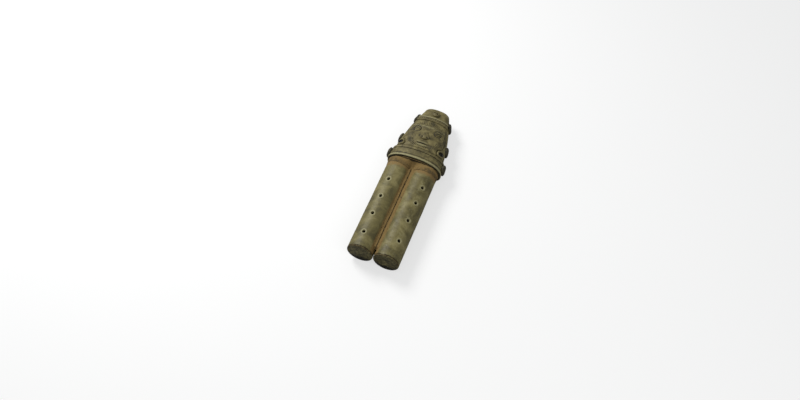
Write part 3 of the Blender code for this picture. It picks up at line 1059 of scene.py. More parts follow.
        def disc(u: float, v: float, _: float) -> Vector:
            """Place a corner of the shape.

            Args:
                u: share across or round.
                v: share along.

            Returns:
                Its place.
            """
            angle = u * math.tau
            reach, y = profile_point(profile, v)
            direction = Vector((math.sin(angle), 0.0, math.cos(angle)))
            point = Vector((x, y, 0.0)) + direction * reach
            if y < self.cap - 0.00001:
                face = fade(reach, self.radius, self.radius - 0.003)
                y += (0.00030 * lumps(point, 0.009, seed) + 0.00012 * lumps(point, 0.0025, seed)) * face
                y += 0.00030 * groove(reach - seam, 0.0012) * lumps(point, 0.006, seed + 4.0)
                reach -= 0.00035 * lumps(direction * 0.01, 0.0045, seed) * fade(reach, 0.0100, self.radius)
            return Vector((x, y, 0.0)) + direction * reach

        def tones(point: Vector) -> Tones:
            """Return how much of each dressing a point has.

            Args:
                point: a point of the piece.

            Returns:
                Its earth, its darkening (an even darker tone with painted shade towards the back) and no
                lightening.
            """
            reach = math.hypot(point.x - x, point.z)
            rim_share = fade(reach, 0.0120, self.radius)
            # Painted shade towards the back, away from the lamps
            low = fade(point.z, -0.004, -0.0135)
            return 0.18 + 0.2 * rim_share, 0.40 + 0.22 * low, 0.0

        body = Bench.skin(112, 110, disc)
        self.bench.add(
            f"{side.word}_foot_disc", body, Finish.BURNISHED, "pipe_clay", [f"{side.word}_foot_cap"], tones
        )

    def fill(self, name: str, node: str, front: float) -> None:
        """Build and dress the clay pressed into one valley.

        Args:
            name: name of the piece.
            node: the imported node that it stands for.
            front: 1 in front and -1 behind.
        """
        seat = self.radius + JOINT_GAP
        top = 0.0090
        root = 0.0052
        sag = 0.0011
        start = 0.0080
        end = self.neck + 0.0020

        def half_width(height: float) -> float:
            """Return half the gap between the pipes at a height over their axes."""
            return self.offset - math.sqrt(seat ** 2 - height ** 2)

        def strip(u: float, v: float, w: float) -> Vector:
            """Place a corner of the shape.

            Args:
                u: share across or round.
                v: share along.
                w: share up.

            Returns:
                Its place.
            """
            share = 2.0 * u - 1.0
            y = start + (end - start) * v
            if w < 0.5:
                return Vector((share * half_width(root), y, front * root))
            spot = Vector((share * 0.006, y, 0.0))
            flank = Vector((math.copysign(1.0, share), y / 0.004, 0.0))
            smear = 0.0003 + 0.0006 * lumps(flank, 1.0, 5.0)
            x = share * (half_width(top) + smear)
            height = top - sag * (1.0 - share ** 2)
            height += 0.0007 * (lumps(spot, 0.0035, 8.0) - 0.5) + 0.0004 * (lumps(spot, 0.0011, 9.0) - 0.5)
            crack = 0.35 * (lumps(Vector((0.0, y, 0.0)), 0.012, 2.0) - 0.5)
            height -= 0.0007 * groove(share - crack, 0.35)
            height *= 1.0 - 0.25 * fade(y, 0.0105, 0.0082)
            return Vector((x, y, front * height))

        def tones(point: Vector) -> Tones:
            """Return how much of each dressing a point has.

            Args:
                point: a point of the piece.

            Returns:
                Its earth, its painted shade (along the middle and against the pipes) and no lightening.
            """
            earth = 0.35 + 0.35 * lumps(point, 0.007, 6.0)
            # Painted shade in the crease along the middle and in the corners against the pipes
            soot_and_shade = 0.42 * fade(abs(point.x), 0.0016, 0.0003) + 0.4 * fade(abs(point.x), 0.0026, 0.0032)
            return earth, soot_and_shade, 0.0

        body = Bench.slab(30, 380, strip)
        self.bench.add(name, body, Finish.EARTHY, "earthy_clay", [node], tones)

    def fillet(self) -> None:
        """Build and dress the fillet that runs out from the pipes to the head."""
        reach_side = math.radians(94.0)
        outer = self.radius + 0.0008
        web_top = 0.0079
        rise = 0.0075
        thickness = 0.0016
        back_reach = 0.0010

        def outline(angle: float) -> float:
            """Return how far the pipes and the web between them reach.

            Args:
                angle: angle from the front centre.

            Returns:
                The distance from the middle line.
            """
            across = abs(math.sin(angle))
            forward = abs(math.cos(angle))
            pipe = self.offset * across + math.sqrt(max(outer ** 2 - (self.offset * forward) ** 2, 0.0))
            web = web_top / max(forward, 0.001)
            return max(pipe, min(web, outer))

        def saddle(u: float, v: float, w: float) -> Vector:
            """Place a corner of the shape.

            Args:
                u: share across or round.
                v: share along.
                w: share up.

            Returns:
                Its place.
            """
            angle = reach_side * (2.0 * u - 1.0)
            foot = HEAD.point(angle, HEAD.base, -JOINT_GAP)
            foot_angle = math.atan2(foot.x, foot.z)
            start = outline(foot_angle)
            y = self.neck + rise * v
            if w < 0.5:
                reach = start - thickness
            else:
                end = max(math.hypot(foot.x, foot.z), start)
                reach = start - 0.0006 * (1.0 - v) ** 3 + (end - start) * v ** 2.2
                spot = Vector((foot.x, y, foot.z))
                reach -= 0.0006 * lumps(spot, 0.0042, 3.0) + 0.00025 * lumps(spot, 0.0012, 4.0)
                y -= 0.0014 * lumps(Vector((foot.x, 0.0, foot.z)), 0.006, 2.0) * (1.0 - v)
            z = max(reach * math.cos(foot_angle), -back_reach)
            return Vector((reach * math.sin(foot_angle), y, z))

        def tones(point: Vector) -> Tones:
            """Return how much of each dressing a point has.

            Args:
                point: a point of the piece.

            Returns:
                Its earth, its darkening (painted shade under the collar, over uneven darker patches) and no
                lightening.
            """
            centre = mound(point.x, 0.009)
            earth = 0.32 + 0.4 * fade(point.y, 0.119, 0.1245) * lumps(point, 0.006, 1.0) + 0.15 * centre
            # Painted shade under the collar's overhang, over uneven darker patches
            soot_and_shade = 0.40 * fade(point.y, 0.1235, 0.1250) + 0.30 * lumps(point, 0.004, 7.0)
            return earth, soot_and_shade, 0.0

        body = Bench.slab(300, 34, saddle)
        self.bench.add("neck_saddle", body, Finish.EARTHY, "earthy_clay", ["neck_fillet"], tones)

    def build(self) -> None:
        """Build both pipes and what joins them."""
        for side in Side:
            self.pipe(side)
            self.foot(side)
        self.fill("valley_fill", "front_web", 1.0)
        self.fill("back_valley_fill", "back_web", -1.0)
        self.fillet()


@dataclass
class Head:
    """The hollow head with its base, crown, bands and face plate."""

    bench: Bench
    crown_start: float = 0.1922
    crown_end: float = 0.2100
    crown_edge: float = 0.0022
    face_start: float = 0.1424
    face_end: float = 0.1864
    collar_start: float = 0.1263
    collar_height: float = 0.0158
    headband_start: float = 0.1868
    headband_height: float = 0.0068

    @staticmethod
    def unevenness(point: Vector) -> float:
        """Return how far the hand-smoothed surface sinks.

        Args:
            point: a point of the head.

        Returns:
            The depth.
        """
        return 0.00030 * lumps(point, 0.011, 2.0) + 0.00012 * lumps(point, 0.0030, 5.0)

    @staticmethod
    def furrow(across: float, y: float) -> float:
        """Return the depth share of the furrow outside the face.

        Args:
            across: distance round from the front centre.
            y: distance from the feet.

        Returns:
            1 in the furrow's middle, 0 outside it.
        """
        line = (
            (0.150, 0.0250), (0.155, 0.0253), (0.1635, 0.0261),
            (0.174, 0.0250), (0.179, 0.0235), (0.187, 0.0205),
        )
        place = min(max(y, line[0][0]), line[-1][0])
        middle = line[-1][1]
        for first, second in zip(line, line[1:]):
            if place <= second[0]:
                share = (place - first[0]) / (second[0] - first[0])
                middle = first[1] + (second[1] - first[1]) * share
                break
        reach = fade(y, 0.1530, 0.1560) * fade(y, 0.1885, 0.1860)
        return groove(abs(across) - middle, 0.0022) * reach

    def hood(self) -> None:
        """Build and dress the hollow head itself."""
        start = HEAD.base + 0.0010
        end = self.crown_start + 0.0002

        def wall(u: float, v: float, w: float) -> Vector:
            """Place a corner of the shape.

            Args:
                u: share across or round.
                v: share along.
                w: share up.

            Returns:
                Its place.
            """
            y = start + (end - start) * v
            across = (2.0 * u - 1.0) * HEAD.girths(y)[-1]
            angle = HEAD.angle(across, y)
            if w < 0.5:
                return HEAD.point(angle, y, -HEAD_WALL)
            point = HEAD.point(angle, y)
            sink = self.unevenness(point) + 0.0009 * self.furrow(across, y)
            return point - HEAD.normal(point) * sink

        def tones(point: Vector) -> Tones:
            """Return how much of each dressing a point has.

            Args:
                point: a point of the piece.

            Returns:
                Its earth, its painted shade (in the furrow, between the collar and the face plate, and on
                the back) and its painted highlight on the sides.
            """
            across = HEAD.across(point)
            furrow = self.furrow(across, point.y)
            # Painted highlight on the sides of the hood
            side = fade(abs(across), 0.0265, 0.0300) * fade(point.z, -0.004, 0.002)
            wear_and_highlight = 0.75 * side * fade(point.y, 0.150, 0.160) * fade(point.y, 0.188, 0.180)
            # Painted shade between the collar and the face plate, in the furrow and on the back
            under = 0.4 * fade(abs(point.y - 0.1435), 0.0022, 0.0008) * fade(point.z, -0.002, 0.004)
            soot_and_shade = max(0.95 * furrow, under, 0.36 * fade(point.z, -0.002, -0.010))
            return 0.20 * lumps(point, 0.01, 3.0), soot_and_shade, wear_and_highlight

        body = Bench.slab(260, 132, wall, wrapped=True)
        self.bench.add("head_hood", body, Finish.SMOOTHED, "head_clay", ["face_shell", "back_shell"], tones)

    def closed_section(
        self, stations: Sequence[Tuple[float, float, float]], columns: int
    ) -> bmesh.types.BMesh:
        """Make a solid length of the head.

        Args:
            stations: y, swell and share of the section's size, from one end to the other.
            columns: cells round.

        Returns:
            The shape.
        """
        rows = len(stations) - 1

        def ring(u: float, v: float, _: float) -> Vector:
            """Place a corner of the shape.

            Args:
                u: share across or round.
                v: share along.

            Returns:
                Its place.
            """
            y, swell, share = stations[round(v * rows)]
            across = (2.0 * u - 1.0) * HEAD.girths(y)[-1]
            angle = HEAD.angle(across, y)
            point = HEAD.point(angle, y, swell)
            edge = point - HEAD.normal(HEAD.point(angle, y)) * self.unevenness(point)
            if share >= 1.0:
                return edge
            inner = Vector((edge.x * share, edge.y, edge.z * share))
            if y > self.crown_end - 0.0001:
                inner.y -= 0.00020 * lumps(inner, 0.004, 6.0) * fade(share, 1.0, 0.85)
            return inner

        return Bench.skin(columns, rows, ring)

    def crown(self) -> None:
        """Build and dress the crown with the mouths of its two windways."""
        straight = self.crown_end - self.crown_edge
        stations = [(self.crown_start, 0.0, share / 4.0) for share in range(4)]
        run = straight - self.crown_start
        stations += [(self.crown_start + run * step / 44.0, 0.0, 1.0) for step in range(45)]
        for step in range(1, 10):
            angle = math.radians(10.0 * step)
            y = straight + self.crown_edge * math.sin(angle)
            stations.append((y, -self.crown_edge * (1.0 - math.cos(angle)), 1.0))
        inset = -self.crown_edge
        stations += [(self.crown_end, inset, 1.0 - step / 22.0) for step in range(1, 23)]
        body = self.closed_section(stations, 200)
        mouth_across = 0.0055
        bend_across = 0.0125
        bend_place = 0.1311
        bend_drop = 0.0077
        slot_start = 0.1905
        slot_length = 0.0215
        half_width = 0.0035
        half_height = 0.0009
        cutters = []
        for side in Side:

            def slot(u: float, v: float, w: float) -> Vector:
                """Place a corner of the shape.

                Args:
                    u: share across or round.
                    v: share along.
                    w: share up.

                Returns:
                    Its place.
                """
                y = slot_start + slot_length * v
                slope = (self.crown_end - y) / (self.crown_end - bend_place)
                x = side.value * mouth_across + side.value * (bend_across - mouth_across) * slope
                z = -bend_drop * slope
                return Vector((x + half_width * (2.0 * u - 1.0), y, z + half_height * (2.0 * w - 1.0)))

            cutters.append(Bench.slab(2, 6, slot))

        def tones(point: Vector) -> Tones:
            """Return how much of each dressing a point has.

            Args:
                point: a point of the piece.

            Returns:
                Its earth, its painted shade (in the windway mouths and on the back) and its painted
                highlight on the rounded rim.
            """
            # Painted shade in the mouths of the windways
            x_gap = abs(abs(point.x) - 0.0056)
            near = fade(x_gap, 0.0044, 0.0030) * fade(abs(point.z), 0.0018, 0.0010)
            inside = near * fade(self.crown_end - point.y, 0.0002, 0.0012) * fade(point.y, 0.1925, 0.1935)
            # Painted highlight on the rounded rim of the blowing end
            wear_and_highlight = 0.55 * fade(point.y, self.crown_end - 0.0030, self.crown_end - 0.0004)
            # Painted shade on the back
            soot_and_shade = max(inside, 0.34 * fade(point.z, -0.001, -0.007))
            return 0.15 * lumps(point, 0.008, 2.0), soot_and_shade, wear_and_highlight

        body = Bench.cut(body, cutters)
        self.bench.add("blown_crown", body, Finish.SMOOTHED, "head_clay", ["crown_block"], tones)

    def base(self) -> None:
        """Build and dress the plate that closes the head over the pipes."""
        depth = 0.0058
        inset = -0.0003
        stations = [(HEAD.base, inset, share / 8.0) for share in range(8)]
        stations += [(HEAD.base + depth * step / 12.0, inset, 1.0) for step in range(13)]
        stations += [(HEAD.base + depth, inset, 1.0 - share / 4.0) for share in range(1, 5)]
        body = self.closed_section(stations, 200)

        def tones(point: Vector) -> Tones:
            """Return how much of each dressing a point has.

            Args:
                point: a point of the piece.

            Returns:
                Its earth, soot and wear.
            """
            return 0.45 * fade(point.z, 0.002, 0.008), 0.40, 0.0

        self.bench.add("head_base", body, Finish.ROUGH, "core_clay", ["base_plate"], tones)

    def collar(self) -> None:
        """Build and dress the collar with its rolled lip and its pressed lines."""
        start = self.collar_start
        height = self.collar_height
        upper_line = 0.0118
        lower_line = 0.0043
        end_degree = 128

        def strip(u: float, v: float, w: float) -> Vector:
            """Place a corner of the shape.

            Args:
                u: share across or round.
                v: share along.
                w: share up.

            Returns:
                Its place.
            """
            along = height * v
            y = start + along
            reach = HEAD.girths(y)[end_degree]
            across = (2.0 * u - 1.0) * reach
            point = HEAD.point(HEAD.angle(across, y), y)
            if w > 0.5:
                wavy = 0.0007 * (lumps(Vector((across, 0.0, 0.0)), 0.006, 4.0) - 0.5)
                y_shift = wavy * fade(along, 0.0040, 0.0)
                ends = rounded(reach - abs(across), 0.0022)
                edges = rounded(along, 0.0011) * rounded(height - along, 0.0007)
                lift = 0.0013 * edges + 0.0007 * math.exp(-((along - 0.0015) / 0.0012) ** 4)
                lift += 0.00016 * fade(along, upper_line, 0.0126)
                lift -= 0.00055 * groove(along - upper_line, 0.0011)
                lift -= 0.00030 * groove(along - lower_line, 0.0012)
                lift -= 0.00022 * lumps(point, 0.0035, 1.0) + 0.00008 * lumps(point, 0.0010, 2.0)
                swell = JOINT_GAP + max(lift, 0.0001) * ends
                spot = HEAD.point(HEAD.angle(across, y), y, swell)
                return spot + Vector((0.0, y_shift * edges, 0.0))
            return HEAD.point(HEAD.angle(across, y), y, 0.0)

        def tones(point: Vector) -> Tones:
            """Return how much of each dressing a point has.

            Args:
                point: a point of the piece.

            Returns:
                Its earth, its painted shade (in the pressed lines, under the lower edge and on the back) and
                its painted highlight on the rolled lip.
            """
            along = point.y - start
            # Painted highlight along the rolled lip
            lip = fade(abs(along - 0.0014), 0.0016, 0.0006)
            lines = max(groove(along - upper_line, 0.0013), 0.8 * groove(along - lower_line, 0.0014))
            # Painted shade in the pressed lines, under the lower edge and on the back
            soot_and_shade = max(0.85 * lines, 0.55 * fade(along, 0.0007, 0.0), 0.34 * fade(point.z, 0.002, -0.008))
            return 0.26 * lumps(point, 0.006, 5.0), soot_and_shade, 0.62 * lip

        body = Bench.slab(300, 64, strip)
        self.bench.add("collar", body, Finish.APPLIED, "applied_clay", ["collar_band"], tones)

    def headband(self) -> None:
        """Build and dress the headband with its ridge and its row of punched dots."""
        start = self.headband_start
        height = self.headband_height
        spacing = 0.0025
        dot_row = 0.0031
        line = 0.0045

        def dots(across: float, along: float) -> float:
            """Return the depth share of the punched dots."""
            nearest = round(across / spacing) * spacing
            return groove(math.hypot(across - nearest, along - dot_row), 0.0015)

        def reach_at(y: float) -> float:
            """Return how far round the headband goes."""
            return HEAD.side(y) - PELLET_RADIUS - 2.0 * JOINT_GAP

        def strip(u: float, v: float, w: float) -> Vector:
            """Place a corner of the shape.

            Args:
                u: share across or round.
                v: share along.
                w: share up.

            Returns:
                Its place.
            """
            along = height * v
            y = start + along
            reach = reach_at(y)
            across = (2.0 * u - 1.0) * reach
            if w < 0.5:
                return HEAD.lay(across, y, 0.0)
            edges = rounded(along, 0.0008) * rounded(height - along, 0.0008)
            edges *= rounded(reach - abs(across), 0.0015)
            spot = Vector((across, y, 0.0))
            lift = 0.0012 * edges + 0.00055 * math.exp(-((along - 0.0055) / 0.0007) ** 2)
            lift -= 0.00055 * dots(across, along)
            lift -= 0.00030 * groove(along - line, 0.0008)
            lift -= 0.00018 * lumps(spot, 0.0024, 3.0)
            return HEAD.lay(across, y, JOINT_GAP * edges + max(lift, 0.0) * edges)

        def tones(point: Vector) -> Tones:
            """Return how much of each dressing a point has.

            Args:
                point: a point of the piece.

            Returns:
                Its earth, its painted shade in the dots and the line, and its painted highlight on the
                ridge.
            """
            across = HEAD.across(point)
            along = point.y - start
            # Painted shade in the punched dots and the pressed line
            soot_and_shade = max(dots(across, along), 0.7 * groove(along - line, 0.0010))
            # Painted highlight along the ridge
            wear_and_highlight = 0.55 * fade(abs(along - 0.0056), 0.0010, 0.0003)
            return 0.18 * lumps(point, 0.005, 8.0), soot_and_shade, wear_and_highlight

        body = Bench.slab(240, 34, strip)
        self.bench.add("dotted_headband", body, Finish.APPLIED, "applied_clay", ["headband"], tones)

    def face_edge(self, y: float) -> float:
        """Return the half width of the face plate.

        Args:
            y: distance from the feet.

        Returns:
            The distance round to its edge.
        """
        corner = 0.0060
        edge = 0.64 * HEAD.side(y)
        from_end = min(y - self.face_start, self.face_end - y)
        if from_end < corner:
            edge -= corner - math.sqrt(max(corner ** 2 - (corner - from_end) ** 2, 0.0))
        ear_reach = EAR_RADIUS + 3.0 * JOINT_GAP
        if abs(y - EAR_PLACE) < ear_reach:
            edge = min(edge, EAR_ACROSS - math.sqrt(ear_reach ** 2 - (y - EAR_PLACE) ** 2))
        return edge

    @staticmethod
    def hatching(across: float, y: float) -> float:
        """Return the depth share of the lines cut round the brow and cheeks.

        Args:
            across: distance round from the front centre.
            y: distance from the feet.

        Returns:
            1 in the middle of a line, 0 between the lines.
        """
        size = 0.0225
        lines = 62
        x = across / size
        up = (y - 0.1635) / size
        ring = math.hypot(x, up)
        turn = math.atan2(x, up)
        wander = 0.05 * math.sin(9.0 * turn) + 0.02 * math.sin(23.0 * turn)
        phase = turn / math.tau * lines
        from_line = abs(phase - round(phase)) / lines * math.tau * ring * size
        reach = fade(ring, 0.66 + wander, 0.72 + wander) * fade(ring, 0.97, 0.92)
        border = 0.8 * groove((ring - 0.665 - wander) * size, 0.0007) * fade(up, -0.45, -0.2)
        return max(groove(from_line, 0.00075) * reach * fade(up, -0.95, -0.75), border)

    def face(self) -> None:
        """Build and dress the face plate with its modelling and its cut lines."""

        def plate(u: float, v: float, w: float) -> Vector:
            """Place a corner of the shape.

            Args:
                u: share across or round.
                v: share along.
                w: share up.

            Returns:
                Its place.
            """
            share = (1.0 - math.cos(math.pi * v)) / 2.0 * 0.35 + v * 0.65
            y = self.face_start + (self.face_end - self.face_start) * share
            edge = self.face_edge(y)
            across = (2.0 * u - 1.0) * edge
            if w < 0.5:
                return HEAD.lay(across, y, 0.0)
            from_end = min(y - self.face_start, self.face_end - y)
            border = rounded(edge - abs(across), 0.0010) * rounded(from_end, 0.0010)
            lift = JOINT_GAP + 0.0009
            eye = math.hypot(abs(across) - EYE_ACROSS, y - EYE_PLACE)
            lift += 0.0005 * mound(math.hypot(abs(across) - 0.0125, y - 0.1560), 0.0055)
            lift += 0.0006 * mound(y - BROW_PLACE, 0.0022) * fade(abs(across), 0.0185, 0.0150)
            lift += 0.0005 * mound(math.hypot(across / 1.5, y - 0.1490), 0.0048)
            lift -= 0.0004 * groove(eye - 0.0044, 0.0022)
            lift -= 0.00036 * self.hatching(across, y)
            spot = Vector((across, y, 0.0))
            lift -= 0.00018 * lumps(spot, 0.0040, 6.0) + 0.00006 * lumps(spot, 0.0011, 7.0)
            return HEAD.lay(across, y, max(lift, 0.0001) * border)

        def tones(point: Vector) -> Tones:
            """Return how much of each dressing a point has.

            Args:
                point: a point of the piece.

            Returns:
                Its earth, its painted shade (in the cut lines, round the eyes, beside the nose and along the
                edge) and its painted highlight on the brow.
            """
            across = HEAD.across(point)
            eye = math.hypot(abs(across) - EYE_ACROSS, point.y - EYE_PLACE)
            nose_side = mound(math.hypot((abs(across) - 0.0062) / 1.2, (point.y - 0.1610) / 2.2), 0.0020)
            from_edge = abs(abs(across) - self.face_edge(round(point.y, 4)))
            # Painted shade in the cut lines, in the groove round each eye, beside the nose and along the
            # edge
            soot_and_shade = max(
                0.78 * self.hatching(across, point.y),
                0.55 * groove(eye - 0.0042, 0.0020),
                0.45 * nose_side,
                0.6 * fade(from_edge, 0.0010, 0.0002),
            )
            # Painted highlight on the brow ridge
            brow = 0.40 * mound(point.y - BROW_PLACE, 0.0022)
            return 0.24 * lumps(point, 0.007, 4.0), soot_and_shade, brow

        body = Bench.slab(168, 164, plate)
        self.bench.add("modelled_face", body, Finish.APPLIED, "applied_clay", ["face_plate"], tones)

    def build(self) -> None:
        """Build the whole head."""
        self.base()
        self.hood()
        self.crown()
        self.collar()
        self.headband()
        self.face()


@dataclass
class Features:
    """The nose, eyes, lips, ear discs, pellets and crown lug."""

    bench: Bench
    plate_lift: float = 0.0015

    def nose(self) -> None:
        """Build and dress the nose with its two nostrils."""
        length = 0.0120

        def nostril(x: float, y: float) -> float:
            """Return the depth share of the nostrils."""
            return groove(math.hypot(abs(x) - 0.0027, (y + 0.0036) * 0.8), 0.0026)

        def shape(x: float, y: float, height: float) -> Vector:
            """Place a corner of the shape.

            Args:
                x: share across.
                y: share along.
                height: share up.

            Returns:
                Its place.
            """
            along = y * length / 2.0
            rise = max(0.5 - along / length, 0.0)
            width = 0.0044 + (0.0156 - 0.0044) * rise ** 1.5
            across = x * width / 2.0
            lift = height * 0.0026 * (0.35 + 0.65 * rise)
            lift -= 0.0015 * nostril(across, along) * min(height, 1.0)
            lift -= 0.00015 * lumps(Vector((across, along, 0.0)), 0.0018, 3.0) * height
            base = self.plate_lift - 0.0006 if height <= 0.0 else self.plate_lift
            return HEAD.lay(across, NOSE_PLACE + along, base + max(lift, 0.0))

        def tones(point: Vector) -> Tones:
            """Return how much of each dressing a point has.

            Args:
                point: a point of the piece.

            Returns:
                Its earth, its darkening (an even darker tone with painted shade in the nostrils) and its
                painted highlight along the ridge.
            """
            pit = nostril(HEAD.across(point), point.y - NOSE_PLACE)
            # Painted shade in the nostrils, painted highlight along the ridge
            return 0.1, max(0.28, pit), 0.28 * mound(point.x, 0.0016)

        body = Bench.pressed_ball(shape, 72, 56)
        self.bench.add("nose_relief", body, Finish.APPLIED, "applied_clay", ["nose"], tones)

    def eye(self, side: Side) -> None:
        """Build and dress one slit eye.

        Args:
            side: the side of the face.
        """
        slant = Matrix.Rotation(side.value * math.radians(20.0), 2)
        middle = side.value * EYE_ACROSS

        def slit(x: float, y: float) -> float:
            """Return the depth share of the slit."""
            return groove(y, 0.0012) * fade(abs(x), 0.0031, 0.0024)

        def shape(x: float, y: float, height: float) -> Vector:
            """Place a corner of the shape.

            Args:
                x: share across.
                y: share along.
                height: share up.

            Returns:
                Its place.
            """
            flat_x = x * 0.0034
            flat_y = y * 0.0020
            lift = height * 0.0012 - 0.0009 * slit(flat_x, flat_y) * min(height * 1.5, 1.0)
            spot = slant @ Vector((flat_x, flat_y))
            base = self.plate_lift - 0.0005 if height <= 0.0 else self.plate_lift
            return HEAD.lay(middle + spot.x, EYE_PLACE + spot.y, base + max(lift, 0.0))

        def tones(point: Vector) -> Tones:
            """Return how much of each dressing a point has.

            Args:
                point: a point of the piece.

            Returns:
                Its earth, its painted shade in the slit and its painted highlight on the lids.
            """
            flat = slant.transposed() @ Vector((HEAD.across(point) - middle, point.y - EYE_PLACE))
            # Painted shade in the slit, painted highlight on the lids
            return 0.0, max(0.15, slit(flat.x, flat.y)), 0.42 * fade(abs(flat.y), 0.0006, 0.0011)

        body = Bench.pressed_ball(shape, 64, 44)
        self.bench.add(
            f"{side.word}_slit_eye", body, Finish.APPLIED, "applied_clay", [f"{side.word}_eye"], tones
        )

    def lip(self, name: str, node: str, direction: float) -> None:
        """Build and dress one lip.

        Args:
            name: name of the piece.
            node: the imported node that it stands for.
            direction: 1 for the upper lip and -1 for the lower.
        """
        middle = MOUTH_PLACE + direction * (0.0032 + JOINT_GAP) / 2.0

        def shape(x: float, y: float, height: float) -> Vector:
            """Place a corner of the shape.

            Args:
                x: share across.
                y: share along.
                height: share up.

            Returns:
                Its place.
            """
            across = x * 0.0070
            along = y * 0.0016 * (1.0 - 0.12 * math.cos(3.0 * x) * direction)
            lift = height * 0.0015 - 0.00022 * lumps(Vector((across, along, 0.0)), 0.0016, 5.0) * height
            base = self.plate_lift - 0.0005 if height <= 0.0 else self.plate_lift
            return HEAD.lay(across, middle + along, base + max(lift, 0.0))

        def tones(point: Vector) -> Tones:
            """Return how much of each dressing a point has.

            Args:
                point: a point of the piece.

            Returns:
                Its earth, its darkening (an even darker tone with painted shade along the mouth line) and
                its painted highlight on the outer part.
            """
            inner = fade(direction * (point.y - MOUTH_PLACE), 0.0012, 0.0003)
            # Painted shade along the mouth line, painted highlight on the outer part
            return 0.0, 0.22 + 0.7 * inner, 0.40 * (1.0 - inner)

        body = Bench.pressed_ball(shape, 64, 28)
        self.bench.add(name, body, Finish.APPLIED, "applied_clay", [node], tones)

    def ear(self, side: Side) -> None:
        """Build and dress one ear disc and its stud.

        Args:
            side: the side of the head.
        """
        middle = side.value * EAR_ACROSS
        hollow = 0.0024

        def ring(u: float, v: float, _: float) -> Vector:
            """Place a corner of the shape.

            Args:
                u: share across or round.
                v: share along.

            Returns:
                Its place.
            """
            angle = u * math.tau
            turn = v * math.tau
            half = (EAR_RADIUS - hollow) / 2.0
            reach = hollow + half - half * math.cos(turn)
            height = max(0.0020 * math.sin(turn), -0.0001)
            spot = Vector((reach * math.cos(angle), reach * math.sin(angle), 0.0))
            height -= 0.00022 * lumps(spot, 0.0016, 2.0 + side.value) * fade(height, 0.0, 0.001)
            return HEAD.lay(middle + spot.x, EAR_PLACE + spot.y, JOINT_GAP * 0.5 + height)

        def ring_tones(point: Vector) -> Tones:
            reach = math.hypot(HEAD.across(point) - middle, point.y - EAR_PLACE)
            # Painted shade in the hollow of the disc
            soot_and_shade = max(0.16, 0.9 * fade(reach, 0.0029, 0.0024))
            # Painted highlight along the crest of the ring
            return 0.0, soot_and_shade, 0.42 * fade(abs(reach - 0.0038), 0.0008, 0.0002)

        body = Bench.skin(72, 32, ring)
        self.bench.add(
            f"{side.word}_ear_disc", body, Finish.APPLIED, "applied_clay",
            [f"{side.word}_ear_ring"], ring_tones
        )

        def stud(x: float, y: float, height: float) -> Vector:
            """Place a corner of the shape.

            Args:
                x: share across.
                y: share along.
                height: share up.

            Returns:
                Its place.
            """
            spot = Vector((x * 0.0022, y * 0.0022, 0.0))
            lift = height * 0.0012 - 0.0002 * lumps(spot, 0.0012, 4.0) * height
            return HEAD.lay(middle + spot.x, EAR_PLACE + spot.y, lift)

        # Near black finish and darkening on the stud: painted shade in the hollow of the ear disc
        body = Bench.pressed_ball(stud, 36, 20)
        self.bench.add(
            f"{side.word}_ear_knob", body, Finish.SHADE_DARKENED, "pellet_clay", [f"{side.word}_ear_stud"],
            lambda point: (0.0, 0.5, 0.0),
        )

    def pellet(self, side: Side, word: str, place: float, lift: float) -> None:
        """Build and dress one pellet on the side of the head.

        Args:
            side: the side of the head.
            word: upper, middle or lower.
            place: distance from the feet.
            lift: distance of its seat off the head.
        """
        seed = place * 900.0 + side.value * 3.0
        dent = Vector((0.0011 * math.sin(seed), 0.0011 * math.cos(seed), 0.0))

        def shape(x: float, y: float, height: float) -> Vector:
            """Place a corner of the shape.

            Args:
                x: share across.
                y: share along.
                height: share up.

            Returns:
                Its place.
            """
            spot = Vector((x * PELLET_RADIUS, y * PELLET_RADIUS, 0.0))
            shrink = 1.0 - 0.05 * lumps(spot, 0.004, seed)
            spot *= shrink
            top = height * 0.0030
            top -= 0.0007 * mound((spot - dent).length, 0.0024) * height
            top -= 0.00030 * lumps(spot, 0.0020, seed) * height
            y_here = place + spot.y
            seat = lift - 0.0008 if height <= 0.0 else lift
            across = side.value * (HEAD.side(y_here) - spot.x)
            return HEAD.lay(across, y_here, max(seat, 0.0) + max(top, 0.0))

        def tones(point: Vector) -> Tones:
            """Return how much of each dressing a point has.

            Args:
                point: a point of the piece.

            Returns:
                Its earth, its even darker tone and its painted highlight on the top.
            """
            # Painted highlight on the side that faces up
            return 0.12 * lumps(point, 0.003, seed), 0.3, 0.30 * fade(point.z, 0.001, 0.0045)

        body = Bench.pressed_ball(shape, 56, 36)
        name = f"{side.word}_{word}_knob"
        self.bench.add(name, body, Finish.SHADE_DARKENED, "pellet_clay", [f"{side.word}_{word}_pellet"], tones)

    def lug(self) -> None:
        """Build and dress the pierced lug on the crown."""
        pits = ((-0.00172, 0.00125), (0.00155, -0.00031))

        def pit(x: float, y: float) -> float:
            """Return the depth share of the hole."""
            return max(groove(math.hypot(x - a, y - b), 0.0029) for a, b in pits)

        def shape(x: float, y: float, height: float) -> Vector:
            """Place a corner of the shape.

            Args:
                x: share across.
                y: share along.
                height: share up.

            Returns:
                Its place.
            """
            across = x * 0.0043
            along = y * 0.0039
            lift = height * 0.0026 - 0.0022 * pit(across, along) * min(height * 1.2, 1.0)
            lift -= 0.00025 * lumps(Vector((across, along, 0.0)), 0.0018, 2.0) * height
            seat = 0.0 if height <= 0.0 else JOINT_GAP
            return HEAD.lay(across, LUG_PLACE + along, seat + max(lift, 0.0))

        def tones(point: Vector) -> Tones:
            """Return how much of each dressing a point has.

            Args:
                point: a point of the piece.

            Returns:
                Its earth, its painted shade in the holes and its even lightening.
            """
            # Painted shade in the two holes
            return 0.12, max(0.12, pit(HEAD.across(point), point.y - LUG_PLACE)), 0.18

        body = Bench.pressed_ball(shape, 72, 52)
        self.bench.add("pierced_lug", body, Finish.APPLIED, "applied_clay", ["crown_lug"], tones)

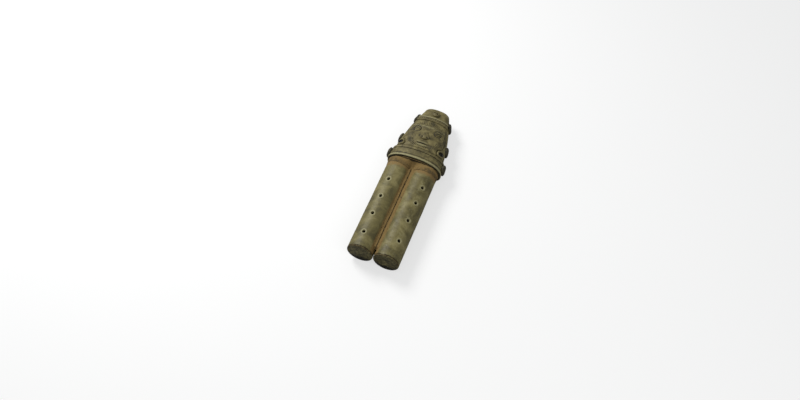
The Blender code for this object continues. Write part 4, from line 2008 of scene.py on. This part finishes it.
    def build(self) -> None:
        """Build every feature."""
        self.nose()
        self.lip("upper_mouth_roll", "upper_lip", 1.0)
        self.lip("lower_mouth_roll", "lower_lip", -1.0)
        self.lug()
        for side in Side:
            self.eye(side)
            self.ear(side)
            self.pellet(side, "upper", 0.1936, JOINT_GAP)
            self.pellet(side, "middle", 0.1600, JOINT_GAP)
            self.pellet(side, "lower", 0.1350, 0.0025)


@dataclass
class Inside:
    """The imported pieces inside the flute, which keep their own shapes."""

    bench: Bench
    names: Tuple[str, ...] = ("pipe_block", "windway_duct")

    def build(self) -> None:
        """Dress the inner pieces in rough clay."""
        material = self.bench.material(Finish.ROUGH)
        for side in Side:
            for name in self.names:
                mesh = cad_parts[f"{side.word}_{name}"].data
                mesh.materials.clear()
                mesh.materials.append(material)


@dataclass(frozen=True)
class Studio:
    """Pale floor, soft lights from the upper left and the camera of the photograph."""

    azimuth: float = 15.978
    elevation: float = 57.647
    roll: float = -5.747
    distance: float = 0.9
    target: Tuple[float, float, float] = (0.00108, -0.02558, 0.0148)
    lens: float = 36.45
    sensor: float = 36.0

    def floor(self) -> bpy.types.Object:
        """Make the floor.

        Returns:
            The floor.
        """
        body = bmesh.new()
        bmesh.ops.create_grid(body, x_segments=4, y_segments=4, size=3.0)
        mesh = bpy.data.meshes.new("floor")
        body.to_mesh(mesh)
        body.free()
        material = bpy.data.materials.new("matt_pale_paper")
        material.use_nodes = True
        tree = material.node_tree
        tree.nodes.clear()
        camera_ray = add_node(tree, "ShaderNodeLightPath").outputs["Is Camera Ray"]
        tint = {0: camera_ray, 6: (0.42, 0.41, 0.39, 1.0), 7: (0.9, 0.9, 0.89, 1.0)}
        colour = add_node(tree, "ShaderNodeMix", tint, data_type="RGBA").outputs[2]
        paper = add_node(tree, "ShaderNodeBsdfDiffuse", {"Color": colour}).outputs[0]
        glow = add_node(tree, "ShaderNodeEmission", {"Color": WHITE, "Strength": 1.0}).outputs[0]
        share = calculate(tree, "MULTIPLY", camera_ray, 0.62)
        surface = add_node(tree, "ShaderNodeMixShader", {0: share, 1: paper, 2: glow}).outputs[0]
        add_node(tree, "ShaderNodeOutputMaterial", {"Surface": surface})
        mesh.materials.append(material)
        floor = bpy.data.objects.new("floor", mesh)
        bpy.context.scene.collection.objects.link(floor)
        return floor

    def world(self) -> None:
        """Light the scene softly from all round, with white behind it."""
        world = bpy.data.worlds.new("studio")
        world.use_nodes = True
        tree = world.node_tree
        tree.nodes.clear()
        camera_ray = add_node(tree, "ShaderNodeLightPath").outputs["Is Camera Ray"]
        light = add_node(
            tree, "ShaderNodeBackground", {"Color": (0.96, 0.98, 1.0, 1.0), "Strength": 0.42}
        ).outputs[0]
        white = add_node(tree, "ShaderNodeBackground", {"Color": WHITE, "Strength": 1.0}).outputs[0]
        surface = add_node(tree, "ShaderNodeMixShader", {0: camera_ray, 1: light, 2: white}).outputs[0]
        add_node(tree, "ShaderNodeOutputWorld", {"Surface": surface})
        bpy.context.scene.world = world

    def lamp(
        self, name: str, place: Tuple[float, float, float], size: float, power: float
    ) -> bpy.types.Object:
        """Make one soft lamp that looks at the flute.

        Args:
            name: its name.
            place: where it stands.
            size: its width.
            power: its power in watts.

        Returns:
            The lamp.
        """
        data = bpy.data.lights.new(name, "AREA")
        data.shape = "DISK"
        data.size = size
        data.energy = power
        lamp = bpy.data.objects.new(name, data)
        lamp.location = place
        lamp.rotation_euler = (Vector(self.target) - Vector(place)).to_track_quat("-Z", "Y").to_euler()
        bpy.context.scene.collection.objects.link(lamp)
        return lamp

    def camera(self) -> None:
        """Set the camera up where the photograph was taken from."""
        azimuth = math.radians(self.azimuth)
        elevation = math.radians(self.elevation)
        roll = math.radians(self.roll)
        back = Vector((
            math.sin(azimuth) * math.cos(elevation),
            -math.cos(azimuth) * math.cos(elevation),
            math.sin(elevation),
        ))
        right = Vector((math.cos(azimuth), math.sin(azimuth), 0.0))
        up = back.cross(right)
        turned_right = right * math.cos(roll) - up * math.sin(roll)
        turned_up = right * math.sin(roll) + up * math.cos(roll)
        data = bpy.data.cameras.new("photo_camera")
        data.lens = self.lens
        data.sensor_width = self.sensor
        data.sensor_fit = "HORIZONTAL"
        camera = bpy.data.objects.new("photo_camera", data)
        turn = Matrix((turned_right, turned_up, back)).transposed().to_4x4()
        camera.matrix_world = Matrix.Translation(Vector(self.target) + back * self.distance) @ turn
        bpy.context.scene.collection.objects.link(camera)
        bpy.context.scene.camera = camera

    def build(self) -> None:
        """Set up the floor, lights and camera."""
        self.world()
        key = self.lamp("key", (-0.55, 0.22, 0.62), 0.34, 6.4)
        fill = self.lamp("fill", (0.50, -0.45, 0.55), 0.60, 1.1)
        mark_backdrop(self.floor(), key, fill)
        self.camera()
        bpy.context.scene.view_settings.view_transform = "Standard"


def main() -> None:
    """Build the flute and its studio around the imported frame."""
    logging.basicConfig(level=logging.INFO)
    cad_box = [list(corner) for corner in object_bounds()]
    bench = Bench(Vector(cad_box[0]), Vector(cad_box[1]))
    for assembly in (Pipes(bench), Head(bench), Features(bench), Inside(bench)):
        assembly.build()
        LOG.info("%s built", type(assembly).__name__)
    Studio().build()


if __name__ == "__main__":
    main()
